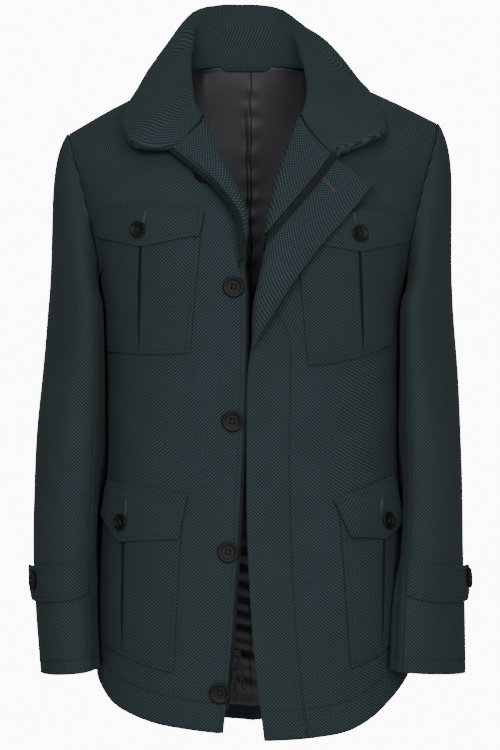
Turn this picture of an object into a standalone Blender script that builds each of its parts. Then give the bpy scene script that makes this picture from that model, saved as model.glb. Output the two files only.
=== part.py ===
"""A field jacket filled out as if worn, with its zip open and its collar and fronts folded back.

Frame: millimetres in the tables below, metres in the scene. +X is the wearer's left, the front
faces -Y and +Z is up. The origin lies at the middle of the neck's base.
Every panel is a grid of points on its outer face, rows going up, closed into a wall below it.
"""

import math

import bmesh
import bpy
import numpy as np
from mathutils import Vector

MM = 0.001

# Cloth and seams.
CLOTH = 2.0
FACING_CLOTH = 1.5
LINING_CLOTH = 1.2
PATCH_CLOTH = 1.6
TAPE = 1.2
SEAM_GAP = 0.4
SLEEVE_SEAM_GAP = 0.8
SLEEVE_TOP_GAP = 4.6
COLLAR_SEAM_GAP = 2.4
COLLAR_FACING_IN = 3.0
COLLAR_FACING_TOP = 1.2
FACING_FOOT = 1.5
FACING_TOP = 2.4
TAPE_TOP = 2.0
WHOLE = 1000.0
FACING_GAP = 1.2
OVER_TAPE = 1.7

# The torso: level, half width, and depths in front of and behind the shoulder line.
TORSO = [
    # height half_width front back
    (-800, 190, 134, 126),
    (-700, 190, 134, 125),
    (-620, 188, 131, 120),
    (-540, 184, 126, 110),
    (-440, 176, 122, 100),
    (-350, 178, 126, 104),
    (-280, 181, 131, 112),
    (-220, 190, 133, 116),
    (-170, 203, 131, 117),
    (-120, 218, 127, 116),
    (-60, 240, 122, 112),
    (80, 250, 120, 110),
]
SHOULDER = [
    # x height
    (-225, -59),
    (-175, -30),
    (-123, -3),
    (-86, 20),
    (-42, 44),
    (0, 52),
    (40, 45),
    (78, 23),
    (114, 6),
    (170, -19),
    (225, -46),
]
SQUARENESS = 2.4
SHOULDER_Y = 8.0
SHOULDER_GAP = 0.7
CHEST_LEVEL = -240.0
BLADE_LEVEL = -160.0
CHEST_ROUND = 1.8
BLADE_ROUND = 2.4
SHOULDER_X = 225.0
UNDERARM = -240.0
ARMHOLE_ROUND = 1.3

HEM = [
    # degrees right left
    (0, -776, -782),
    (30, -769, -778),
    (45, -763, -771),
    (55, -755, -757),
    (65, -744, -737),
    (75, -726, -721),
    (90, -711, -713),
    (120, -745, -747),
    (150, -783, -783),
    (180, -793, -793),
]

# Neck seam, from the right front round the back to the left front.
NECK_SEAM = [
    # x y z
    (-68, -78, -50),
    (-73, -66, -36),
    (-78, -50, -22),
    (-82, -30, -5),
    (-86, 8, 20),
    (-82, 34, 27),
    (-74, 52, 31),
    (-60, 64, 34),
    (-34, 73, 36),
    (-7, 76, 36),
    (20, 74, 36),
    (44, 66, 34),
    (60, 54, 32),
    (72, 34, 28),
    (78, 8, 23),
    (76, -28, -2),
    (73, -50, -18),
    (69, -66, -32),
    (65, -78, -48),
]
RIGHT_NECK_POINT = 4
LEFT_NECK_POINT = 14

# The opening's edges, from hem to neck: where the fold starts, where the edge ends, how far the
# edge stands off the chest, and how far the cloth has turned over (0 flat, 1 folded back).
OPENING_RIGHT = [
    # base_x base_z edge_x edge_z lift turn
    (-43, -776, -35, -776, 0, 0),
    (-38, -725, -30, -725, 0, 0),
    (-33, -670, -25, -670, 0, 0),
    (-29, -610, -21, -610, 0, 0),
    (-25, -545, -17, -545, 0, 0),
    (-22, -480, -14, -480, 0, 0),
    (-19, -415, -11, -415, 0, 0),
    (-17, -350, -9, -350, 0, 0),
    (-16, -300, -8, -300, 0, 0),
    (-16, -262, -8, -263, 0, 0),
    (-18, -234, -10, -238, 3, 0.1),
    (-20, -208, -13, -216, 7, 0.35),
    (-24, -184, -14, -193, 10, 0.7),
    (-29, -160, -18, -170, 11, 0.9),
    (-35, -136, -32, -148, 11, 1),
    (-44, -114, -46, -132, 10, 1),
    (-53, -94, -60, -119, 9, 1),
    (-61, -73, -78, -104, 8, 1),
    (-68, -50, -96, -89, 8, 1),
]
OPENING_LEFT = [
    # base_x base_z edge_x edge_z lift turn
    (21, -782, 13, -782, 0, 0),
    (14, -724, 6, -724, 0, 0),
    (8, -670, 0, -670, 0, 0),
    (4, -608, -4, -608, 0, 0),
    (1, -546, -7, -546, 0, 0),
    (0, -480, -8, -480, 0, 0),
    (0, -415, -8, -415, 0, 0),
    (1, -362, -7, -364, 0, 0),
    (4, -330, -4, -336, 3, 0.1),
    (8, -306, 3, -317, 8, 0.45),
    (11, -282, 12, -300, 12, 0.8),
    (14, -258, 25, -278, 13, 1),
    (19, -228, 44, -248, 13, 1),
    (24, -198, 62, -223, 13, 1),
    (28, -168, 80, -201, 13, 1),
    (34, -138, 95, -184, 13, 1),
    (42, -110, 109, -168, 13, 1),
    (52, -82, 123, -151, 13, 1),
    (65, -48, 137, -131, 13, 1),
]
SIDE_LEVELS = (-711, -672, -630, -585, -535, -485, -435, -385, -338, -295, -264)
# The placket is the left front's strip beyond its zip.
PLACKET_WIDTH = 52.0
# A front's columns: these samples of its fold, even ones on the body and a narrow one beside the
# side seam.
FOLD_PICKS = (4, 9, 14, 19, 25, 32, 40, 48)
FRONT_COLUMNS = 10
NARROW = 2.5
# The row beside the shoulder seam lies this far below it, and this far below the neck seam.
SHOULDER_DROP = 0.25
NECK_DROP = 3.0
BACK_COLUMNS = 18
SHOULDER_STEPS = 6
BODY_SAMPLES = 48
# The share of a front's top row that runs along the shoulder; the rest follows the neck.
SHOULDER_SHARE = 0.64
# How fast the side's, hem's, shoulder's and seams' own lines fade out over the rows.
FRONT_HEM_FADE = 4
BACK_HEM_FADE = 3
TOP_FADE = 4
FRONT_SEAM_FADE = 30
BACK_SEAM_FADE = 40
ROW_SPACING = 25.0
NARROW_SHARE = 0.12
FOLD_SAMPLES = 48
FOLD_CREST = 11.0
FOLD_START = 20.0
FOLD_REACH = 0.72
FRONT_RISE = 3
COLLAR_RISE = 1
COLLAR_FOLD = (0.14, 0.3, 0.46, 0.64, 0.82, 1.0)

# The collar's columns: seam point (a step along NECK_SEAM), where it turns over, its top edge.
COLLAR = [
    # seam base_x base_y base_z edge_x edge_y edge_z turn
    (0, -69, -76, -46, -102, -103, -90, 1),
    (1, -72, -69, -31, -117, -93, -78, 1),
    (2, -75, -56, -14, -130, -82, -66, 1),
    (3, -77, -34, 8, -137, -50, -43, 1),
    (3.5, -78, -14, 22, -132, -22, -20, 1),
    (4, -78, 6, 34, -122, 4, 3, 1),
    (5, -77, 34, 56, -108, 26, 38, 0.9),
    (6, -75, 52, 76, -92, 46, 72, 0.55),
    (7, -68, 66, 84, -78, 70, 97, 0.1),
    (8, -40, 82, 80, -46, 92, 110, 0),
    (9, -12, 88, 80, -16, 99, 112, 0),
    (10, 15, 86, 80, 12, 98, 111, 0),
    (11, 38, 78, 76, 36, 88, 105, 0),
    (12, 54, 62, 66, 60, 69, 86, 0.2),
    (13, 60, 36, 46, 86, 42, 56, 0.7),
    (14, 61, 6, 31, 110, 12, 12, 1),
    (14.5, 63, -14, 16, 122, -10, -7, 1),
    (15, 65, -34, 1, 134, -36, -32, 1),
    (16, 66, -54, -13, 138, -56, -50, 1),
    (17, 66, -68, -27, 131, -82, -66, 1),
    (18, 66, -76, -44, 101, -103, -93, 1),
]
STAND_STEPS = (0.0, 0.5)

# Sleeves: outer and inner reach from the front, centre and half depth from the side, and how far
# the inner side is turned forward.
SLEEVE_RIGHT = [
    # height outer inner centre_y half_depth turn
    (-290, 253, 181, -14, 72, 34),
    (-350, 258, 180, -14, 68, 28),
    (-420, 264, 181, -16, 64, 20),
    (-490, 266, 184, -22, 60, 15),
    (-560, 266, 187, -32, 57, 12),
    (-630, 262, 189, -46, 53, 14),
    (-707, 255, 187, -62, 49, 20),
]
SLEEVE_LEFT = [
    # height outer inner centre_y half_depth turn
    (-290, 248, 178, -16, 72, 40),
    (-350, 252, 178, -16, 68, 34),
    (-420, 254, 178, -20, 64, 26),
    (-490, 255, 180, -30, 60, 22),
    (-560, 255, 177, -44, 57, 28),
    (-630, 256, 170, -62, 52, 38),
    (-707, 256, 167, -72, 44, 42),
]
# Degrees round a sleeve from its outer side by way of the front, with narrow columns by its seams.
SLEEVE_TURNS = (0, 18, 36, 54, 72, 90, 108, 126, 140, 144, 148, 162, 180, 198, 216, 230, 234)
SLEEVE_TURNS += (238, 252, 270, 288, 306, 324, 342, 360)
FRONT_SEAM = SLEEVE_TURNS.index(144)
BACK_SEAM = SLEEVE_TURNS.index(234)
# Sleeves stay this far off the body, and further beside the hip flaps.
SLEEVE_CLEAR = 1.6
FLAP_CLEAR = 10.0
FLAP_LEVEL = -520.0
CUFF_SLOPE = 0.1
CAP_STEPS = (0.1, 0.24, 0.42, 0.68)
SLEEVE_TOP_ROWS = 6

# The collar's end columns lie along the fronts' top rows at these shares of the folded cloth.
COLLAR_END_GAP = 2.3
COLLAR_END = (0.0, 0.06, 0.12, 0.22, 0.36, 0.5, 0.66, 0.82, 1.0)

# Facings, as distances from a front's edge, and the zip's tape beside its line.
FACING_RIGHT = (2.5, 70.0)
FACING_LEFT = (60.0, 122.0)
# The facings show from these rows up. On the left row the fold rolls under the zip's line, so
# there the facing starts nearer the edge and the tape is narrower.
FACING_ROW_RIGHT = 10
FACING_ROW_LEFT = 13
ROLLING_PLACE_LEFT = 55.5
ROLLING_DEPTH = 6.0
# The right tape narrows on the rows where the edge curls: row and share of its width.
CURLING_RIGHT = {10: 0.6, 11: 0.3, 12: 0.6}
TAPE_WIDTH = 6.4
TAPE_LEFT = (PLACKET_WIDTH + 0.8, PLACKET_WIDTH + 8.4)
TAPE_DEPTH = 3.3
TAPE_GAP = 1.4
TAPE_FOOT = -745.0

# Pockets: corners, how far the middle of the lower edge hangs, and the pleat's ends across.
POCKETS = [
    # x1 top1 x2 foot1 (left side), x3 top2 x4 foot2 (right side), sag pleat_top pleat_foot
    (-178, -169, -172, -326, -59, -169, -73, -328, 3, -129.5, -134),
    (49, -178, 64, -343, 176, -170, 165, -317, 6, 122, 129),
    (-174, -501, -174, -677, -82, -507, -93, -703, 3, -151, -154),
    (101, -512, 114, -699, 171, -490, 163, -672, 4, 154, 151),
]
POCKET_NAMES = ("pocket_chest_right", "pocket_chest_left", "pocket_hip_right", "pocket_hip_left")
POCKET_SIDE = (0.0, 0.1, 0.3, 0.6, 1.0)
POCKET_ROWS = 8
POCKET_GAP = 0.7
POCKET_SWELL = 2.6
PLEAT_HALF = 1.5
PLEAT_DEPTH = 1.3

# Flaps, from the wearer's right to left: the top edge, the lower edge and how far it stands off.
FLAPS = {
    "flap_chest_right": [
        # top_x top_z foot_x foot_z proud
        (-187, -161, -183, -188, 1.0),
        (-176, -157, -171, -193, 0.5),
        (-160, -153.5, -152, -198, 0),
        (-137, -151, -129, -203.5, 0),
        (-114, -151.5, -106, -200, 0),
        (-92, -153, -85, -195.5, 0),
        (-74, -156.5, -70, -193.5, 0.3),
        (-56, -162, -62, -193, 0.8),
    ],
    "flap_chest_left": [
        # top_x top_z foot_x foot_z proud
        (50, -167, 56, -198, 0.5),
        (67, -162, 71, -201.5, 0),
        (85, -158.5, 87, -204.5, 0),
        (103, -156, 105, -207.5, 0),
        (121, -154.5, 122, -209.5, 0),
        (134, -153, 141, -206, 0),
        (147, -152.5, 158, -201, 0),
        (163, -156.5, 172, -197, 0.6),
        (177, -163, 179, -193, 1.4),
    ],
    "flap_hip_right": [
        # top_x top_z foot_x foot_z proud
        (-174, -481, -175, -521, 4.5),
        (-166, -481.5, -167, -534, 3.5),
        (-157, -483, -159, -547, 2.0),
        (-144, -484, -151, -552, 1.0),
        (-128, -486, -136, -550.5, 0),
        (-110, -488.5, -119, -549, 0),
        (-92, -491, -103, -548, 0.5),
        (-76, -493, -86, -546.5, 1.0),
    ],
    "flap_hip_left": [
        # top_x top_z foot_x foot_z proud
        (94, -499.5, 112, -545, 6.0),
        (105, -495.5, 122, -545.5, 4.0),
        (117, -491, 132, -546, 2.0),
        (129, -487, 142, -547.5, 0.8),
        (141, -483, 153, -549, 0),
        (151, -479, 161, -544, 0),
        (160, -475.5, 170, -537, 1.5),
        (166, -472.5, 175, -526, 4.0),
    ],
}
FLAP_GAP = 0.6
# A flap steps up onto its pocket over one part in this many of its height.
FLAP_STEP = 4.2
FLAP_BUTTON_SHARE = 0.75
FLAP_ROWS = (0.0, 0.26, 0.5, 0.75, 1.0)
FLAP_COLUMNS = 10

# Cuff tabs on the sleeves' own grid: degrees round from the outer side, the levels of the lower
# and upper edges and how far the tab stands off.
TAB = [
    # turn foot top proud
    (142, -616, -573, 0),
    (126, -619, -575, 0),
    (108, -621, -577, 0),
    (90, -622, -578, 0),
    (72, -622, -578.5, 0),
    (54, -622, -579, 0),
    (36, -622, -579, 0),
    (18, -621.5, -579, 0.5),
    (4, -620, -579, 2.0),
    (-10, -604, -580, 6.0),
]
TAB_ROWS = 3
TAB_GAP = 0.6
TAB_BUTTON_RIGHT = (30, -600)
TAB_BUTTON_LEFT = (6, -599)

# Buttons: 25 mm across on the front and cuff tabs, 20 mm on the flaps.
BUTTON = [
    # radius height, from the middle of the face round to the back
    (0.0, 0.62),
    (0.58, 0.62),
    (0.74, 0.92),
    (0.9, 1.0),
    (1.0, 0.7),
    (0.94, 0.25),
    (0.5, 0.0),
    (0.0, 0.0),
]
BUTTON_STEPS = 14
BUTTON_HEIGHT = 3.4
LARGE_BUTTON = 12.4
SMALL_BUTTON = 10.0
BUTTON_LIFT = 0.9
FRONT_BUTTONS = [
    # x z
    (-22.5, -251),
    (-24, -408),
    (-29, -561),
    (-38.5, -725),
]
FLAP_BUTTONS = {
    # flap: x z
    "flap_chest_right": (-131, -184),
    "flap_chest_left": (122, -189),
    "flap_hip_right": (-151, -529),
    "flap_hip_left": (154.5, -527),
}
HIDDEN_BUTTON_Z = -115.0
HIDDEN_BUTTON_INSET = 1.0
HIDDEN_BUTTON_LIFT = 0.8

# Back lining: its lower edge, its stand from the back, the centre pleat and the creases.
LINING_START = 0.4
LINING_LOW_END = 2.2
LINING_LOW_ROWS = 8
LINING_ROWS = (3, 4.5, 6, 7.5, 9, 10.5, 12, 13.5, 15, 16, 17, 17.9)
LINING_COLUMNS = (-10, -9, -7, -5, -3, -2, -1, -0.5, -0.2, 0, 0.2, 0.5, 1, 2, 3, 5, 7, 9, 10)
LINING_GAP = 3.0
LINING_EDGE_GAP = 2.3
LINING_PLEAT_X = -3.0
LINING_PLEAT = 8.0
LINING_PLEAT_HALF = 13.0
PLEAT_END = -430.0
CREASE_LENGTH = 33.0
CREASE_TOP = -660.0
CREASE_DEPTH = 1.6

PATCH = [
    # top_x top_z foot_x foot_z of the hanger patch, from right to left
    (-44, 32.5, -33, 25),
    (-21, 33, -17, 24.5),
    (2, 33, 0, 24.5),
    (25, 32.5, 15, 25),
]
PATCH_WALL = 1.5
PATCH_GAP = 2.0

# Zip sliders with their pulls: place, swing of the pull to the wearer's left and its length.
SLIDERS = [
    # x z swing length
    (-18.6, -680, 12, 42),
    (-21.4, -693.5, 0, 41),
]
SLIDER_NAMES = ("upper", "lower")
SLIDER_SIZE = (8.6, 3.2, 10.6)
SLIDER_LIFT = 0.9
BAIL_WIDTH = 1.8
BAIL_REACH = 3.3
BAIL_HEIGHT = 4.6
BAIL_WALL = 0.8
PULL_WIDTH = 5.4
PULL_WALL = 1.4
PULL_WINDOW = (3.0, 4.0)
PULL_SLOT = (2.4, 8.0)


def columns(names, rows):
    """A table's rows as one array for each named column."""
    return dict(zip(names.split(), np.array(rows, float).T))


def smooth(places, values, at):
    """A curve through a table's values, level at each high and low, without overshoot."""
    places = np.asarray(places, float)
    values = np.asarray(values, float)
    at = np.clip(np.asarray(at, float), places[0], places[-1])
    step = np.diff(places)
    slope = np.diff(values) / step
    rate = np.concatenate([[slope[0]], (slope[1:] + slope[:-1]) / 2, [slope[-1]]])
    rate[np.concatenate([[False], slope[1:] * slope[:-1] <= 0, [False]])] = 0
    k = np.clip(np.searchsorted(places, at, "right") - 1, 0, len(step) - 1)
    t = (at - places[k]) / step[k]
    rise = t * t * (3 - 2 * t)
    start = rate[k] * (t - 2 * t**2 + t**3)
    end = rate[k + 1] * (t**3 - t**2)
    return values[k] + (values[k + 1] - values[k]) * rise + step[k] * (start + end)


def unit(vectors):
    length = np.linalg.norm(vectors, axis=-1, keepdims=True)
    return vectors / np.maximum(length, 1e-9)


torso_sizes = columns("height half_width front back", TORSO)
shoulder_line = columns("x height", SHOULDER)
hem_line = columns("degrees right left", HEM)


def ridge(x):
    """Height of the shoulder line above a place across the body."""
    return smooth(shoulder_line["x"], shoulder_line["height"], x)


def torso(angle, z):
    """A point of the body's outer face. The angle is 0 at the front and 90 degrees at the left side."""
    angle, z = np.broadcast_arrays(np.asarray(angle, float), np.asarray(z, float))
    across = np.sin(angle)
    along = np.cos(angle)
    half_width = smooth(torso_sizes["height"], torso_sizes["half_width"], z)
    front = smooth(torso_sizes["height"], torso_sizes["front"], z)
    back = smooth(torso_sizes["height"], torso_sizes["back"], z)
    depth = np.where(along > 0, front, back)
    reach = (abs(across) / half_width) ** SQUARENESS + (abs(along) / depth) ** SQUARENESS
    reach = reach ** (-1 / SQUARENESS)
    x = reach * across
    top = ridge(x)
    level = np.where(along > 0, CHEST_LEVEL, BLADE_LEVEL)
    power = np.where(along > 0, CHEST_ROUND, BLADE_ROUND)
    below = np.clip((top - z) / (top - level), 0, 1)
    dome = (1 - (1 - below) ** power) ** (1 / power)
    y = SHOULDER_Y + (-reach * along - SHOULDER_Y) * dome
    return np.stack([x, y, z], -1)


def angle_at(x, z, behind=False):
    """The torso angle of the point at x across and z high."""
    half_width = smooth(torso_sizes["height"], torso_sizes["half_width"], z)
    depth = smooth(torso_sizes["height"], torso_sizes["back" if behind else "front"], z)
    share = abs(np.asarray(x, float)) / half_width
    y = depth * np.maximum(1 - share**SQUARENESS, 0) ** (1 / SQUARENESS)
    return np.arctan2(x, -y if behind else y)


def torso_normal(angle, z):
    """The outward direction of the body's face, from its slopes."""
    turn = torso(angle + 0.01, z) - torso(angle - 0.01, z)
    climb = torso(angle, z + 1.0) - torso(angle, z - 1.0)
    return unit(np.cross(turn, climb))


def on_chest(x, z, lift=0.0):
    """The point at x across and z high on the front of the body, lifted off it."""
    angle = angle_at(x, z)
    return torso(angle, z) + torso_normal(angle, z) * np.asarray(lift, float)[..., None]


def hem_height(angle):
    """Height of the hem at a torso angle."""
    degrees = abs(np.degrees(angle))
    left = smooth(hem_line["degrees"], hem_line["left"], degrees)
    right = smooth(hem_line["degrees"], hem_line["right"], degrees)
    blend = np.clip(0.5 + np.sin(angle) * 4, 0, 1)
    return right + (left - right) * blend


def along_points(points, at):
    """A smooth curve through 3D points, read at fractional steps along them."""
    points = np.asarray(points, float)
    steps = np.arange(len(points))
    return np.stack([smooth(steps, points[:, axis], at) for axis in range(3)], -1)


def grid_normals(grid, side):
    """Outward directions of a grid whose rows go up, with side 1 where columns run to +X."""
    up = np.gradient(grid, axis=0)
    along = np.gradient(grid, axis=1)
    return unit(np.cross(along, up)) * side


def trimmed(grid, left=0.0, right=0.0, bottom=0.0, top=0.0):
    """The grid with its outer rows and columns drawn in by these distances, to part the seams."""
    grid = grid.copy()
    grid[:, 0] += unit(grid[:, 1] - grid[:, 0]) * left
    grid[:, -1] += unit(grid[:, -2] - grid[:, -1]) * right
    grid[0] += unit(grid[1] - grid[0]) * bottom
    grid[-1] += unit(grid[-2] - grid[-1]) * top
    return grid


# ---------------------------------------------------------------- objects


def new_material(name, colour, roughness, metallic=0.0):
    material = bpy.data.materials.new(name)
    material.use_nodes = True
    shader = material.node_tree.nodes["Principled BSDF"]
    shader.inputs["Base Color"].default_value = (*colour, 1.0)
    shader.inputs["Roughness"].default_value = roughness
    shader.inputs["Metallic"].default_value = metallic
    return material


def start_scene():
    for thing in list(bpy.data.objects):
        bpy.data.objects.remove(thing, do_unlink=True)
    collection = bpy.data.collections.new("field_jacket")
    helpers = bpy.data.collections.new("cutters")
    bpy.context.scene.collection.children.link(collection)
    bpy.context.scene.collection.children.link(helpers)
    return collection, helpers


def shell_mesh(name, outer, inner, side):
    """A closed wall between two grids of points. Both faces are split alike, so that plies nest."""
    rows, across = outer.shape[:2]
    count = rows * across
    index = np.arange(count).reshape(rows, across)
    a, b, c, d = (index[:-1, :-1], index[:-1, 1:], index[1:, 1:], index[1:, :-1])
    a, b, c, d = (corner.ravel() for corner in (a, b, c, d))
    front = np.concatenate([np.stack([a, b, c], 1), np.stack([a, c, d], 1)])
    rim = np.concatenate([index[0], index[1:, -1], index[-1, -2::-1], index[-2:0:-1, 0]])
    following = np.roll(rim, -1)
    upper_edge = np.stack([following, rim, rim + count], 1)
    lower_edge = np.stack([following, rim + count, following + count], 1)
    faces = np.concatenate([front, front[:, ::-1] + count, upper_edge, lower_edge])
    if side < 0:
        faces = faces[:, ::-1]
    points = np.concatenate([outer.reshape(-1, 3), inner.reshape(-1, 3)]) * MM
    mesh = bpy.data.meshes.new(name)
    mesh.from_pydata(points.tolist(), [], faces.tolist())
    shape = bmesh.new()
    shape.from_mesh(mesh)
    bmesh.ops.remove_doubles(shape, verts=shape.verts, dist=1e-5)
    bmesh.ops.dissolve_degenerate(shape, dist=1e-6, edges=shape.edges)
    bmesh.ops.triangulate(shape, faces=shape.faces)
    shape.to_mesh(mesh)
    shape.free()
    return mesh


def cloth(name, grid, side, wall, material, depth=0.0, facing=None):
    """A cloth piece: a wall under a grid of points, starting at a depth below them.

    Plies of one panel share its directions, so they are made here and not by a modifier each.
    """
    if facing is None:
        facing = grid_normals(grid, side)
    mesh = shell_mesh(name, grid - facing * depth, grid - facing * (depth + wall), side)
    mesh.materials.append(material)
    piece = bpy.data.objects.new(name, mesh)
    jacket.objects.link(piece)
    return piece


# ---------------------------------------------------------------- fronts and back

neck = np.array(NECK_SEAM, float)


def armhole(side, part, behind):
    """A point of the armhole: part 0 at the shoulder, 1 under the arm, down the front or the back."""
    part = np.asarray(part, float)
    top = ridge(side * SHOULDER_X)
    z = top + (UNDERARM - top) * np.sin(part * math.pi / 2) ** ARMHOLE_ROUND
    if behind:
        start = angle_at(side * SHOULDER_X, top, True) * side
    else:
        start = angle_at(side * SHOULDER_X, top) * side
    angle = start + (math.pi / 2 - start) * part**6
    return side * angle, z


def fold(base, edge, heading, normal, turn, steps, rise):
    """Points from where the cloth leaves the body, over the fold, to its edge (a cubic curve).

    A part turned fold rises to its edge; rise says how fast its crest grows with the turn.
    """
    span = np.linalg.norm(edge - base, axis=-1, keepdims=True)
    turn = np.asarray(turn, float)[:, None]
    first = base + heading * (span / 3 * (1 - turn) + FOLD_START * turn) + normal * 2 * turn
    last = edge + heading * (-span / 3 * (1 - turn) + FOLD_REACH * span * turn)
    last = last + normal * FOLD_CREST * turn**rise
    t = np.array(steps)[None, :, None]
    base, first, last, edge = (points[:, None] for points in (base, first, last, edge))
    ends = base * (1 - t) ** 3 + edge * t**3
    return ends + 3 * first * t * (1 - t) ** 2 + 3 * last * t**2 * (1 - t)


def with_narrow_row(angle, z, v, drop):
    """The rows with one more just below the top one."""
    angle = np.concatenate([angle, angle[-1:]])
    z = np.concatenate([z[:-1], z[-1:] - drop, z[-1:]])
    return angle, z, np.concatenate([v, v[-1:]])


def with_narrow_columns(values):
    """Values across a panel with one more beside each end."""
    share = NARROW_SHARE
    first = values[:, :1] * (1 - share) + values[:, 1:2] * share
    last = values[:, -1:] * (1 - share) + values[:, -2:-1] * share
    return np.concatenate([values[:, :1], first, values[:, 1:-1], last, values[:, -1:]], axis=1)


def front_rows(side):
    """Fine rows of a front's outer face, from side seam and armhole to edge."""
    rows = OPENING_LEFT if side > 0 else OPENING_RIGHT
    opening = columns("base_x base_z edge_x edge_z lift turn", rows)
    count = len(rows)
    part = 1 - np.arange(count - len(SIDE_LEVELS)) / (count - len(SIDE_LEVELS) - 1)
    arm_angle, arm_z = armhole(side, part, False)
    side_angle = np.concatenate([np.full(len(SIDE_LEVELS), side * math.pi / 2), arm_angle])
    side_z = np.concatenate([SIDE_LEVELS, arm_z])
    base_angle = angle_at(opening["base_x"], opening["base_z"])
    u = np.linspace(0, 1, BODY_SAMPLES + 1)[None, :]
    v = (np.arange(count) / (count - 1))[:, None]
    angle = side_angle[:, None] * (1 - u) + base_angle[:, None] * u
    z = side_z[:, None] * (1 - u) + opening["base_z"][:, None] * u
    z = z + (hem_height(angle[:1]) - z[:1]) * (1 - v) ** FRONT_HEM_FADE
    # The top row follows the shoulder to the neck point, then the neck seam.
    neck_step = int(BODY_SAMPLES * SHOULDER_SHARE)
    neck_point = LEFT_NECK_POINT if side > 0 else RIGHT_NECK_POINT
    neck_end = len(neck) - 1 if side > 0 else 0
    shoulder_x = np.linspace(side * SHOULDER_X, neck[neck_point][0], neck_step + 1)
    shoulder_y = np.full(neck_step + 1, SHOULDER_Y - SHOULDER_GAP / 2)
    shoulder = np.stack([shoulder_x, shoulder_y, ridge(shoulder_x)], -1)
    along_neck = np.linspace(neck_point, neck_end, BODY_SAMPLES - neck_step + 1)
    top = np.concatenate([shoulder[:-1], along_points(neck, along_neck)])
    top_z = top[:, 2][None, :]
    top_angle = angle_at(top[:, 0], np.minimum(top[:, 2], ridge(top[:, 0])))[None, :]
    angle = angle + (top_angle - angle[-1:]) * v**TOP_FADE
    z = z + (top_z - z[-1:]) * v**TOP_FADE
    z = np.minimum(z, ridge(torso(angle, z)[..., 0]) - 0.2)
    on_neck = np.clip((np.arange(BODY_SAMPLES + 1) - neck_step) / 4, 0, 1)
    drop = SHOULDER_DROP + (NECK_DROP - SHOULDER_DROP) * on_neck
    angle, z, v = with_narrow_row(angle, z, v, drop)
    body = torso(angle, z)
    body = body + (top[None] - body[-1:]) * (v**FRONT_SEAM_FADE)[..., None]
    base = body[:, -1]
    normal = torso_normal(angle[:, -1], np.minimum(z[:, -1], -45))
    path = np.gradient(np.delete(base, -2, axis=0), axis=0)
    path = np.concatenate([path, path[-1:]])
    heading = unit(np.cross(path, normal)) * -side
    for name, values in opening.items():
        near_top = values[-1] + (values[-2] - values[-1]) * NECK_DROP / ROW_SPACING
        opening[name] = np.concatenate([values[:-1], [near_top], values[-1:]])
    edge = on_chest(opening["edge_x"], opening["edge_z"], opening["lift"])
    edge[0, 2] = base[0, 2]
    steps = np.linspace(0, 1, FOLD_SAMPLES + 1)[1:]
    folded = fold(base, edge, heading, normal, opening["turn"], steps, FRONT_RISE)
    fine = np.concatenate([body, folded], axis=1)
    return fine


def row_lengths(row):
    """Distance along a row of points from its last one, for each point from last to first."""
    return np.concatenate([[0], np.cumsum(np.linalg.norm(np.diff(row[::-1], axis=0), axis=1))])


def read_row(row, lengths, distances):
    """The points of a row at these distances; lengths are those of the row's own points."""
    order = np.argsort(lengths)
    return np.stack([np.interp(distances, lengths[order], row[order, axis]) for axis in range(3)], -1)


def front_master(fine, side):
    """A whole front's points, how far each lies from the edge along its row, and its directions."""
    points = []
    distances = []
    for row in fine:
        lengths = row_lengths(row)[::-1]
        body = np.linspace(lengths[0] - NARROW, lengths[BODY_SAMPLES], FRONT_COLUMNS + 1)
        folded = lengths[BODY_SAMPLES + np.array(FOLD_PICKS)]
        places = np.concatenate([[lengths[0]], body, folded])
        points.append(read_row(row, lengths, places))
        distances.append(places)
    points = np.stack(points)
    facing = grid_normals(points, side)
    facing[-1] = facing[-2]
    return points, np.stack(distances), upright_shoulder(points, facing)


def upright_shoulder(points, facing):
    """Directions with those of the shoulder seam held in the seam's own plane, so that it parts."""
    on_seam = abs(points[-1, :, 1] - SHOULDER_Y) < SHOULDER_GAP
    level = unit(facing[-1] * np.array([1.0, 0.0, 1.0]))
    facing[-1] = np.where(on_seam[:, None], level, facing[-1])
    return facing


def strip(master, near, far, snap=0.8):
    """The part of a master between two distances from its edge: points on its faces, and directions."""
    points, distances, facing = master
    cut = []
    turned = []
    starts = np.broadcast_to(near, len(points))
    ends = np.broadcast_to(far, len(points))
    for row, places, directions, start, end in zip(points, distances, facing, starts, ends):
        wanted = np.where(abs(places - start) < snap, start, places)
        wanted = np.where(abs(places - end) < snap, end, wanted)
        wanted = np.clip(wanted, start, end)
        cut.append(read_row(row, places, wanted))
        turned.append(read_row(directions, places, wanted))
    return np.stack(cut), np.stack(turned)


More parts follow.
